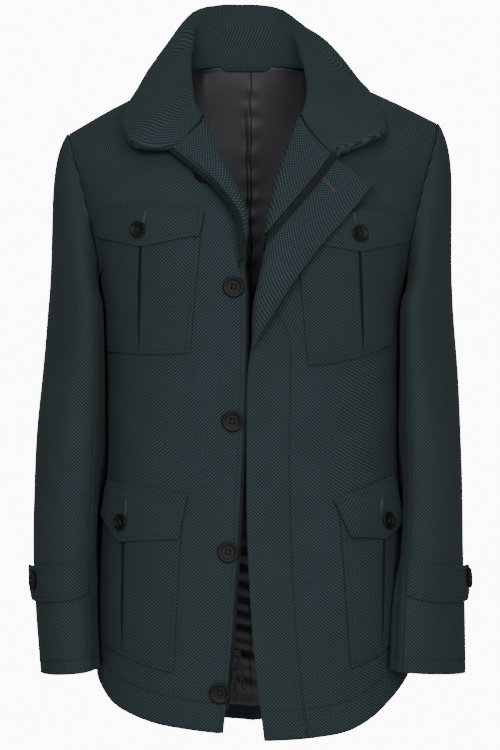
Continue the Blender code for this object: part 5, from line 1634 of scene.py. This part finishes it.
# A tooth's outline, in mm away from its tape and out from the cloth.
TOOTH = ((-1.1, -0.8), (0.9, -0.8), (1.3, 0.0), (0.9, 0.8), (-1.1, 0.8), (-1.4, 0.0))


def teeth(name, edge, beyond, facing):
    """A row of zip teeth beside a run of points: six-sided blocks at the zip's pitch."""
    lengths = chord(edge)
    count = int(lengths[-1] / TOOTH_PITCH)
    at = (np.arange(count) + 0.5) * TOOTH_PITCH
    centre = read_run(edge, lengths, at)
    ahead = unit(read_run(np.gradient(edge, axis=0), lengths, at))
    out = unit(read_run(facing, lengths, at))
    square = np.cross(ahead, out)
    away = unit(square) * np.sign((square * read_run(beyond, lengths, at)).sum(-1))[:, None]
    corners = []
    for along in (-0.34, 0.34):
        for a, b in TOOTH:
            corners.append(centre + ahead * along * TOOTH_PITCH + away * a + out * b * 0.55 * 1.7)
    blocks = np.stack(corners, 1)
    one = [(k, (k + 1) % 6, (k + 1) % 6 + 6, k + 6) for k in range(6)]
    one += [(3, 2, 1, 0), (5, 4, 3, 0), (6, 7, 8, 9), (6, 9, 10, 11)]
    faces = (np.arange(count)[:, None, None] * 12 + np.array(one)[None]).reshape(-1, 4)
    dress(mesh_from(name, blocks.reshape(-1, 3), faces), TEETH_METAL, slot="zip_tape")


# ---------------------------------------------------------------- finishes used

BIRDSEYE = birdseye_group()
SEWN = sewn_group()
SATIN_THREADS = satin_group()
WEAR = wear_group()
BODY_WOOL = wool("teal_wool_body", lines=((1, HEM_STITCH),))
FRONT_WOOL = wool("teal_wool_front", lines=((1, HEM_STITCH), (0, TOPSTITCH)))
PLACKET_WOOL = wool("teal_wool_placket", lines=((1, HEM_STITCH), (0, PLACKET_STITCH)))
FACING_WOOL = wool("teal_wool_facing")
COLLAR_WOOL = wool("teal_wool_collar")
SLEEVE_WOOL = wool("teal_wool_sleeve", lines=((1, CUFF_STITCH),))
POCKET_WOOL = wool("teal_wool_pocket", shade=0.97)
# The pleat's underlay: the wool at about a third of its shade, as painted shade down the pleat's groove.
PLEAT_SHADE_WOOL = wool("teal_wool_pleat_painted_shade", shade=0.35)
SATIN = satin()
HORN = hard(
    "button_horn", (0.002, 0.002, 0.002), (0.006, 0.006, 0.006),
    roughness=0.45, grain=900.0, specular=0.12,
)
GUNMETAL = hard(
    "gunmetal_worn", (0.002, 0.002, 0.002), (0.007, 0.007, 0.008),
    roughness=0.32, metallic=0.3, grain=420.0, specular=0.2,
)
TEETH_METAL = hard(
    "zip_teeth", (0.005, 0.005, 0.006), (0.016, 0.016, 0.018),
    roughness=0.42, metallic=0.4, grain=700.0,
)
THREAD = hard(
    "thread_teal", (0.006, 0.012, 0.014), (0.013, 0.022, 0.025), roughness=0.8, specular=0.1
)
# Black thread for the buttons; it also colours the dark tubes of painted shade in the buttonholes' slits
# and the hanger patch's slot.
BLACK_THREAD_AND_SLIT_SHADE = hard("thread_black_and_slit_shade", (0.010, 0.010, 0.011), (0.02, 0.02, 0.022), roughness=0.7)
THREAD_BROWN = hard(
    "thread_grey_brown", (0.022, 0.020, 0.018), (0.050, 0.045, 0.040), roughness=0.75, specular=0.15
)
TAPE_CLOTH = hard(
    "zip_tape_cloth", (0.004, 0.006, 0.007), (0.009, 0.012, 0.013),
    roughness=0.85, grain=1500.0, specular=0.1,
)

# ---------------------------------------------------------------- fronts and back

right_fine = front_fine(-1)
left_fine = front_fine(1)
back_face = back_fine()


def crumple(face, side, table):
    """The face with its creases worked in along its own directions."""
    height = creases(table, face[..., 0], face[..., 2])
    return face + grid_normals(face, side) * height[..., None]


def off_fold(face, table, side):
    """Creases on a front, fading out at its borders and where the cloth turns over."""
    height = creases(table, face[..., 0], face[..., 2])
    column = np.arange(face.shape[1])
    fade = np.clip((BODY_SAMPLES - 3 - column) / 8, 0, 1) * np.clip(column / 3, 0, 1)
    row = np.arange(face.shape[0])
    fade_up = np.clip((len(row) - 1 - row) / 8, 0, 1) * np.clip(0.35 + row / 20, 0, 1)
    fade = fade[None, :] * fade_up[:, None]
    return face + grid_normals(face, side) * (height * fade)[..., None]


right_fine = off_fold(right_fine, CREASES_RIGHT, 1)
left_fine = off_fold(left_fine, CREASES_LEFT, -1)

half = SEAM_GAP / 2


def front_uv(grid, places):
    """Places on a front: the distance from its edge, and the height up each column from the hem."""
    return np.stack([places, chord(grid)], -1) * MM


grid, places = strip_of(right_fine, 0, WHOLE, FRONT_RIGHT_COLUMNS)
cloth(
    "wool_front_right", "front_right", trimmed(grid, left=half), 1, CLOTH, FRONT_WOOL,
    uv=front_uv(grid, places), sewn="lt",
)
RIGHT = grid
grid, places = strip_of(left_fine, PLACKET_WIDTH, WHOLE, FRONT_LEFT_COLUMNS)
cloth(
    "wool_front_left", "front_left", trimmed(grid, left=half), -1, CLOTH, BODY_WOOL,
    uv=front_uv(grid, places), sewn="lrt",
)
LEFT = grid
grid, places = strip_of(left_fine, 0, PLACKET_WIDTH, PLACKET_COLUMNS)
cloth(
    "wool_placket_left", "placket_left", grid, -1, CLOTH, PLACKET_WOOL,
    uv=front_uv(grid, places), sewn="l",
)
PLACKET = grid

back_face = crumple(back_face, -1, CREASES_BACK)
back_sides = upright_shoulder(back_face, grid_normals(back_face, -1))
cloth(
    "wool_back", "back", trimmed(back_face, left=half, right=half), -1, CLOTH, BODY_WOOL,
    facing=back_sides, sewn="lrt",
)

# ---------------------------------------------------------------- collar and facings


def allowance_share(grid):
    """How much of the facing's allowance each column takes: all of it behind, none in front."""
    return np.clip((grid[0, :, 1] - 20) / 30, 0, 1)[None, :, None]


collar_face = collar_fine(right_fine, left_fine)
collar_sides = grid_normals(collar_face, -1)
inside = CLOTH + FACING_GAP
collar_shell = trimmed(collar_face, bottom=SEWN_GAP, left=COLLAR_IN, right=COLLAR_IN)
cloth(
    "wool_collar", "collar", collar_shell, -1, CLOTH, COLLAR_WOOL, facing=collar_sides, sewn="lrb",
)
# The facing runs on below the neck seam, inside the lining's top edge.
inner = trimmed(
    collar_face, left=COLLAR_FACING_IN, right=COLLAR_FACING_IN, top=COLLAR_FACING_TOP
)
below = inner[:1] + unit(inner[:1] - inner[1:2]) * COLLAR_ALLOWANCE * allowance_share(inner)
inner = np.concatenate([below, inner])
inner_sides = np.concatenate([collar_sides[:1], collar_sides])
cloth(
    "wool_collar_facing", "collar_facing", inner, -1, FACING_CLOTH, FACING_WOOL,
    depth=inside, facing=inner_sides,
)
grid, places = strip_of(right_fine, *FACING_RIGHT, FACING_RIGHT_COLUMNS)
start = FACING_ROW_RIGHT * ROW_STEPS
facing = grid_normals(grid, 1)[start:]
cloth(
    "wool_facing_right", "facing_right", trimmed(grid[start:], top=FACING_TOP), 1,
    FACING_CLOTH, FACING_WOOL, depth=inside, facing=facing, uv=front_uv(grid, places)[start:],
)
grid, places = strip_of(left_fine, *FACING_LEFT, FACING_LEFT_COLUMNS)
start = FACING_ROW_LEFT * ROW_STEPS
facing = grid_normals(grid, -1)[start:]
cloth(
    "wool_facing_left", "facing_left", trimmed(grid[start:], top=FACING_TOP), -1,
    FACING_CLOTH, FACING_WOOL, depth=inside + OVER_TAPE, facing=facing, uv=front_uv(grid, places)[start:],
)

# ---------------------------------------------------------------- zip

edge = np.concatenate([right_fine[:, -1], collar_face[-1, 2:13]])
inner_points = np.concatenate([right_fine[:, -4], collar_face[-4, 2:13]])
facing = np.concatenate([grid_normals(right_fine, 1)[:, -2], collar_sides[-2, 2:13]])
width = np.full((len(edge), 1), TAPE_SHOWN)
rows = np.arange(len(edge))[:, None]
for row, share in CURLING_RIGHT.items():
    near = np.clip(1 - abs(rows / ROW_STEPS - row), 0, 1)
    width = width * (1 - near * (1 - share))
hidden = TAPE_GAP - TAPE_HIDDEN
tape, directions = beyond_edge(edge, inner_points, facing, hidden, TAPE_GAP + width)
share = (TAPE_FOOT - tape[0, 0, 2]) / (tape[ROW_STEPS, 0, 2] - tape[0, 0, 2])
tape[0] += (tape[ROW_STEPS] - tape[0]) * share
keep = tape[:, 0, 2] > TAPE_FOOT
keep[0] = True
tape = tape[keep]
directions = directions[keep]
shares = np.linspace(0, 1, TAPE_COLUMNS)
wide = np.stack([tape[:, 0] * (1 - t) + tape[:, 1] * t for t in shares], 1)
directions = np.repeat(directions[:, :1], TAPE_COLUMNS, 1)
cloth(
    "zip_tape_right_cloth", "zip_tape_right", wide, 1, TAPE, TAPE_CLOTH, slot="zip_tape",
    depth=TAPE_DEPTH, facing=directions, rounding=TAPE_ROUND,
)
run = wide[:, 3] - directions[:, 0] * (TAPE_DEPTH - 0.4)
run = run[run[:, 2] > TEETH_FOOT]
beyond = (wide[:, -1] - wide[:, 0])[-len(run) :]
teeth("zip_teeth_right", run, beyond, directions[-len(run) :, 0])

grid, places = strip_of(left_fine, TAPE_LEFT[0], TAPE_LEFT[1] + 4.0, 6)
facing = grid_normals(grid, -1)
collar_end = collar_face[:, -2:-8:-1]
shares = np.linspace(0.8, 12.4, 6)
tops = [read_row(line, row_lengths(line)[::-1], shares) for line in np.swapaxes(collar_end, 0, 1)]
grid = np.concatenate([grid, np.stack(tops)])
facing = np.concatenate([facing, np.repeat(collar_sides[-3, -2:-8:-1][:, None], 6, 1)])
cloth(
    "zip_tape_left_cloth", "zip_tape_left", trimmed(grid, top=1.0), -1, TAPE, TAPE_CLOTH,
    slot="zip_tape", depth=TAPE_DEPTH, facing=facing, rounding=TAPE_ROUND,
)
run = grid[:, 3] - facing[:, 3] * (TAPE_DEPTH + TAPE + 0.5)
keep = run[:, 2] > TEETH_FOOT_LEFT
teeth("zip_teeth_left", run[keep], (grid[:, 5] - grid[:, 0])[keep], -facing[keep, 3])

# ---------------------------------------------------------------- lining

middle = (back_face.shape[1] - 1) / 2
rows = np.linspace(0.02 * len(back_face), len(back_face) - 1.6, LINING_FINE_ROWS)
even_columns = np.linspace(1.5, 2 * middle - 1.5, LINING_FINE_COLUMNS)
seam_columns = middle + LINING_SEAM_COLUMNS * np.linspace(-1, 1, LINING_SEAM_FINE)
across = np.concatenate([even_columns, seam_columns])
row, column = np.meshgrid(rows, np.unique(across), indexing="ij")
grid = read_grid(back_face, row, column)
inward = -unit(read_grid(back_sides, row, column))
off_edge = np.minimum(
    np.minimum(row - rows[0], rows[-1] - row) / 8, np.minimum(column, 2 * middle - column) / 6
)
off_edge = np.clip(off_edge, 0, 1)
x = grid[..., 0]
z = grid[..., 2]
length = np.clip((z - PLEAT_END) / -PLEAT_END, 0, 1)
off_seam = x - LINING_PLEAT_X
swell = np.exp(-((off_seam / np.where(off_seam > 0, PLEAT_SOFT, PLEAT_STEEP)) ** 2))
swell = PLEAT_STANDS * swell * length * np.clip(-(z - 20) / 70, 0, 1)
wave = np.sin((z + 0.08 * x) * 2 * math.pi / CREASE_LENGTH + 1.2 * np.sin(x / 47))
low = np.clip((CREASE_TOP - z) / 40, 0, 1) * np.clip((CREASE_SIDE - abs(x)) / 60, 0, 1)
ripple = creases(CREASES_LINING, x, z)
crumpled = np.clip((CRUMPLE_TOP - z) / 60, 0, 1)
phase = z * 2 * math.pi / CRUMPLE_LENGTH + 2 * np.sin(z / CRUMPLE_WANDER) + x / CRUMPLE_SLANT
ripple = ripple + CRUMPLE_HEIGHT * np.sin(phase) * crumpled
out = CLOTH + LINING_EDGE_GAP + 0.7 * off_edge + LINING_PLEAT * swell
out = out + (CREASE_DEPTH * (1 + wave) * low + ripple) * off_edge
seam_x = LINING_PLEAT_X + LINING_SEAM_WAVE * (np.sin(z / 11) + 0.6 * np.sin(z / 5.3 + 1))
apart = x - seam_x
high = np.clip((z - PUCKER_FOOT) / PUCKER_RISE, 0, 1)
pucker = PUCKER_HEIGHT * np.sin(z / 4.3 + 1.1 * np.sin(z / 23)) * high
pucker = pucker * np.exp(-((apart / PUCKER_REACH) ** 2))
sunk = LINING_SEAM_DEPTH * np.exp(-((apart / LINING_SEAM_REACH) ** 2))
out = out + (pucker - sunk) * off_edge
lining = grid + inward * out[..., None]
cloth("satin_lining_back", "lining_back", lining, -1, LINING_CLOTH, SATIN, slot="charcoal_satin")

rows = columns("top_x top_z foot_x foot_z", PATCH)
share = np.linspace(0, 1, 9)[:, None]
at = np.linspace(0, 3, 31)
foot_x, top_x, foot_z, top_z = (
    np.interp(at, np.arange(4), rows[key]) for key in ("foot_x", "top_x", "foot_z", "top_z")
)
x = foot_x * (1 - share) + top_x * share
z = foot_z * (1 - share) + top_z * share
near = lining[-14:].reshape(-1, 3)
apart = (near[:, 0] - x[..., None]) ** 2 + (near[:, 2] - z[..., None]) ** 2
y = near[apart.argmin(-1)][..., 1] - LINING_CLOTH - PATCH_GAP
y = y.mean(0)[None] + np.zeros_like(x)
patch = np.stack([x, spline(np.arange(31.0), y.T, np.linspace(0, 30, 31)).T - PATCH_WALL, z], -1)
cloth("wool_hanger_patch", "hanger_patch", patch, 1, PATCH_WALL, FACING_WOOL)
# The slot at the patch's top: a dark tube of painted shade in its opening.
slot_shade_line = patch[-2, 4:-4] - np.array([0, PATCH_WALL * 0.5, 1.2])
slot = mesh_from("hanger_slot_painted_shade", *rings_mesh(tube(slot_shade_line, 0.7)))
dress(slot, BLACK_THREAD_AND_SLIT_SHADE, slot="teal_wool")

# ---------------------------------------------------------------- sleeves


def closed_normals(sleeve, side):
    """The outward directions of a sleeve, whose first and last columns are one line."""
    facing = grid_normals(sleeve, -side)
    facing[:, 0] = unit(facing[:, 0] + facing[:, -1])
    facing[:, -1] = facing[:, 0]
    return facing


for side, hand in ((-1, "right"), (1, "left")):
    sleeve = sleeve_fine(side)
    turns = np.linspace(0, 360, SLEEVE_COLUMNS + 1)
    table = CREASES_SLEEVE_LEFT if side > 0 else CREASES_SLEEVE_RIGHT
    turned = np.broadcast_to(turns[None], sleeve.shape[:2])
    height = creases(table, turned * TURN_STRETCH, sleeve[..., 2])
    height = height + creases(table, (turned - 360) * TURN_STRETCH, sleeve[..., 2])
    rows = np.arange(len(sleeve))[:, None]
    height = height * np.clip((len(sleeve) - 1 - rows) / 8, 0, 1) * np.clip(rows / 6, 0, 1)
    height = np.minimum(height, 0.8 + 3 * np.clip(np.cos(np.radians(turned)), 0, 1))
    sleeve = sleeve + closed_normals(sleeve, side) * height[..., None]
    facing = closed_normals(sleeve, side)
    front_seam = int(round(FRONT_SEAM_TURN / 360 * SLEEVE_COLUMNS))
    back_seam = int(round(BACK_SEAM_TURN / 360 * SLEEVE_COLUMNS))
    both = (sleeve, facing)
    upper = [np.concatenate([v[:, back_seam:-1], v[:, : front_seam + 1]], 1) for v in both]
    under = [v[:, front_seam : back_seam + 1] for v in both]
    for label, (face, sides) in (("upper", upper), ("under", under)):
        face = trimmed(face, left=SEWN_GAP, right=SEWN_GAP)
        cloth(
            f"wool_sleeve_{label}_{hand}", f"sleeve_{label}_{hand}", face, -side,
            CLOTH, SLEEVE_WOOL, facing=sides, held="hung", sewn="lrt",
        )
        sew(column_line(face, CUFF_STITCH), sides[3], CUFF_STITCH_LIFT)
    rows = columns("turn foot top proud", TAB)
    count = len(TAB)
    at = np.linspace(0, count - 1, TAB_FINE_COLUMNS)
    line = {key: smooth(np.arange(count), values, at) for key, values in rows.items()}
    share = np.linspace(0, 1, TAB_FINE_ROWS)[:, None]
    level = line["foot"] * (1 - share) + line["top"] * share
    sleeve_rows = np.arange(SLEEVE_ROWS)
    level_row = np.interp(level, np.linspace(*SLEEVE_LEVELS, SLEEVE_ROWS), sleeve_rows)
    column = np.broadcast_to(line["turn"] % 360 / 360 * SLEEVE_COLUMNS, level.shape)
    points = read_grid(sleeve, level_row, column)
    sides = unit(read_grid(facing, level_row, column))
    tab = points + sides * (TAB_GAP + CLOTH + line["proud"])[None, :, None]
    cloth(f"wool_cuff_tab_{hand}", f"cuff_tab_{hand}", tab, side, CLOTH, POCKET_WOOL)
    tab_sides = unit(grid_normals(tab, side))
    sew_edges(tab, tab_sides, "bt", CUFF_STITCH_LIFT)
    turn, height = TAB_BUTTON_LEFT if side > 0 else TAB_BUTTON_RIGHT
    column = np.interp(-turn, -line["turn"], np.arange(TAB_FINE_COLUMNS))
    row = np.interp(height, tab[:, int(column), 2], np.arange(TAB_FINE_ROWS))
    place = read_grid(tab, row, column)
    outward = unit(read_grid(tab_sides, row, column))
    button_piece(f"horn_button_tab_{hand}", f"button_tab_{hand}", place, outward, LARGE_BUTTON)

# ---------------------------------------------------------------- pockets and flaps


def creased(lift, x, z):
    """The lift of a pocket or flap with the creases of the front below it and its own."""
    table = CREASES_RIGHT if x[0, 0] < 0 else CREASES_LEFT
    return lift + 0.9 * creases(table, x, z) + creases(CREASES_POCKETS, x, z)


def pocket_face(name):
    """The outer face of a pocket, finely sampled, with its pleat slit down the middle."""
    size = pocket_sizes(name)
    down = np.linspace(1, 0, POCKET_FINE_ROWS)[:, None]
    left = size["x1"] + (size["x2"] - size["x1"]) * down
    right = size["x3"] + (size["x4"] - size["x3"]) * down
    pleat = size["pleat_top"] + (size["pleat_foot"] - size["pleat_top"]) * down
    open_by = PLEAT_OPEN * np.sin(math.pi * np.clip(down / PLEAT_ENDS, 0, 1)) ** 0.7 + 0.12
    shares = np.linspace(0, 1, POCKET_HALF_COLUMNS)
    near = left + (pleat - open_by - left) * shares
    far = pleat + open_by + (right - pleat - open_by) * shares
    mid = pleat + open_by * np.linspace(-0.82, 0.82, PLEAT_COLUMNS)
    x = np.concatenate([near, mid, far], axis=1)
    across = (x - left) / (right - left)
    top = size["top1"] + (size["top2"] - size["top1"]) * across
    foot = size["foot1"] + (size["foot2"] - size["foot1"]) * across
    foot = foot - size["sag"] * 4 * across * (1 - across)
    z = top + (foot - top) * down
    groove = np.zeros(x.shape[1])
    hollow = np.sin(np.linspace(0.5, math.pi - 0.5, PLEAT_COLUMNS)) ** 0.4
    groove[POCKET_HALF_COLUMNS : POCKET_HALF_COLUMNS + PLEAT_COLUMNS] = PLEAT_SUNK * hollow
    lift = pocket_lift(name, x, z) - groove * np.clip((1 - down) * 6, 0, 1)
    return on_chest(x, z, creased(lift, x, z))


def flap_face(name):
    """The outer face of a flap, finely sampled, from its lower edge to its seam."""
    table = columns("top_x top_z foot_x foot_z proud", FLAPS[name])
    count = len(FLAPS[name])
    at = np.linspace(0, count - 1, FLAP_FINE_COLUMNS)
    line = {key: smooth(np.arange(count), values, at) for key, values in table.items()}
    share = np.linspace(1, 0, FLAP_FINE_ROWS)[:, None]
    x = line["top_x"] * (1 - share) + line["foot_x"] * share
    z = line["top_z"] * (1 - share) + line["foot_z"] * share
    lift = flap_lift(name, x, z, share, line["proud"] * share)
    return on_chest(x, z, creased(lift, x, z))


for name in POCKET_NAMES:
    face = pocket_face(name)
    piece = cloth("wool_" + name, name, face, 1, PATCH_CLOTH, POCKET_WOOL)
    # The faces in and beside the pleat take the darker wool: painted shade in the groove.
    piece.data.materials.append(PLEAT_SHADE_WOOL)
    across = face.shape[1] - 1
    painted_shade_marks = np.zeros(len(piece.data.polygons), np.int32)
    face_columns = np.arange((face.shape[0] - 1) * across) % across
    past_pleat = POCKET_HALF_COLUMNS + PLEAT_COLUMNS
    in_pleat = (face_columns >= POCKET_HALF_COLUMNS - 1) & (face_columns < past_pleat)
    painted_shade_marks[: len(face_columns)] = in_pleat
    piece.data.polygons.foreach_set("material_index", painted_shade_marks)
    sew_edges(face, grid_normals(face, 1), "lrb")

BUTTON_HOLES = {
    # flap: hole's upper end, its lower end
    "flap_chest_right": ((-126, -161), (-129, -174)),
    "flap_chest_left": ((119, -163), (120.5, -175.5)),
    "flap_hip_right": ((-150, -503), (-151, -518)),
    "flap_hip_left": ((153.5, -501), (152, -515)),
}
for name, (x, z) in FLAP_BUTTONS.items():
    face = flap_face(name)
    cloth("wool_" + name, name, face, 1, CLOTH, POCKET_WOOL)
    sew_edges(face, grid_normals(face, 1), "btlr")
    place = on_chest(x, z, flap_lift(name, x, z, FLAP_BUTTON_SHARE, 0.0))
    facing = torso_normal(angle_at(x, z), z)
    node = name.replace("flap", "button")
    button_piece("horn_" + node, node, place, facing, SMALL_BUTTON)
    upper, lower = BUTTON_HOLES[name]
    path = slit_path(upper, lower, SLIT_HALF)
    y = ring_mean(nearest_depth(face.reshape(-1, 3), path))
    points = np.stack([path[:, 0], y - 0.25, path[:, 1]], -1)
    bead_loop("buttonhole_" + name, points, SLIT_CORD, SLIT_BEADS)

# The placket's keyhole shows on its inner side, where the front is folded back.
path = slit_path(*KEYHOLE, KEYHOLE_HALF, KEYHOLE_EYE)
inner_face = (PLACKET - grid_normals(PLACKET, -1) * (CLOTH + 0.1)).reshape(-1, 3)
y = nearest_depth(inner_face[np.abs(inner_face[:, 0] - 90) < 40], path)
y = y.mean() * 0.3 + ring_mean(y) * 0.7
points = np.stack([path[:, 0], y - 0.3, path[:, 1]], -1)
bead_loop("buttonhole_placket", points, KEYHOLE_CORD, KEYHOLE_BEADS)

# ---------------------------------------------------------------- front buttons

for number, (x, z) in enumerate(FRONT_BUTTONS, 2):
    button_piece(
        f"horn_button_front_{number}", f"button_front_{number}", on_chest(x, z),
        torso_normal(angle_at(x, z), z), LARGE_BUTTON,
    )
hidden = [read_row(row, row_lengths(row)[::-1], HIDDEN_BUTTON_INSET) for row in right_fine]
hidden = np.stack(hidden)
sides = grid_normals(right_fine, 1)[:, -2]
first = len(hidden) - HIDDEN_BUTTON_ROWS * ROW_STEPS
k = first + int(np.argmin(abs(hidden[first:, 2] - HIDDEN_BUTTON_Z)))
place = hidden[k] + sides[k] * HIDDEN_BUTTON_LIFT
button_piece("horn_button_front_1", "button_front_1", place, sides[k], LARGE_BUTTON)

# ---------------------------------------------------------------- stitches

for face, side in ((RIGHT, 1), (LEFT, -1), (PLACKET, -1), (back_face, -1)):
    sides = grid_normals(face, side)
    sew(column_line(face, HEM_STITCH), sides[6])
sides = grid_normals(RIGHT, 1)
sew(row_line(RIGHT, TOPSTITCH, True), sides[:, -3])
sides = grid_normals(PLACKET, -1)
sew(row_line(PLACKET, PLACKET_EDGE_STITCH), sides[:, 1])
sides = grid_normals(collar_face, -1)
sew(column_line(collar_face, EDGE_STITCH, True), sides[-3])
sew(row_line(collar_face, EDGE_STITCH), sides[:, 3])
sew(row_line(collar_face, EDGE_STITCH, True), sides[:, -4])
sewn_thread("thread_topstitches", THREAD, "teal_wool")

for name in ("zip_slider_upper", "zip_slider_lower", "zip_pull_upper", "zip_pull_lower"):
    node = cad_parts[name]
    for slot in node.material_slots:
        slot.material = GUNMETAL

# ---------------------------------------------------------------- stage

corners = [[-3000, -2500], [3000, -2500], [3000, 3000], [-3000, 3000]]
floor = mesh_from("floor", [[x, y, FLOOR_Z] for x, y in corners], [[0, 1, 2, 3]])
material, _, shader = new_material("pale_floor", 0.9)
shader.inputs["Base Color"].default_value = (FLOOR_SHADE, FLOOR_SHADE, FLOOR_SHADE, 1.0)
floor.data.materials.append(material)
corners = [[-2500, -3200], [2500, -3200], [2500, 2500], [-2500, 2500]]
backdrop = mesh_from("backdrop", [[x, BACKDROP_Y, z] for x, z in corners], [[0, 1, 2, 3]])
material, _, shader = new_material("white_backdrop", 0.9)
shader.inputs["Emission Color"].default_value = (1.0, 1.0, 1.0, 1.0)
shader.inputs["Emission Strength"].default_value = BACKDROP
backdrop.data.materials.append(material)
backdrop.visible_diffuse = False
backdrop.visible_glossy = False
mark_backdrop(floor, backdrop)


def area_light(name, place, aim, size, power):
    """A square soft light, aimed at a point; places in metres."""
    light = bpy.data.lights.new(name, "AREA")
    light.size = size
    light.energy = power
    lamp = bpy.data.objects.new(name, light)
    lamp.location = place
    lamp.rotation_euler = (Vector(aim) - Vector(place)).to_track_quat("-Z", "Y").to_euler()
    bpy.context.scene.collection.objects.link(lamp)


for name, place, size, power in LIGHTS:
    area_light(name, place, LIGHTS_AIM, size, power)
world = bpy.data.worlds.new("white")
world.use_nodes = True
world.node_tree.nodes["Background"].inputs["Color"].default_value = (1, 1, 1, 1)
world.node_tree.nodes["Background"].inputs["Strength"].default_value = WORLD
bpy.context.scene.world = world

camera = bpy.data.objects.new("camera", bpy.data.cameras.new("camera"))
camera.data.sensor_fit = "VERTICAL"
camera.data.sensor_height = SENSOR
camera.data.lens = SENSOR * FOCAL / IMAGE_HEIGHT
camera.location = CAMERA_PLACE
camera.rotation_euler = (math.pi / 2, 0, 0)
camera.data.clip_end = CAMERA_SEES_TO
bpy.context.scene.collection.objects.link(camera)
bpy.context.scene.camera = camera

low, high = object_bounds()
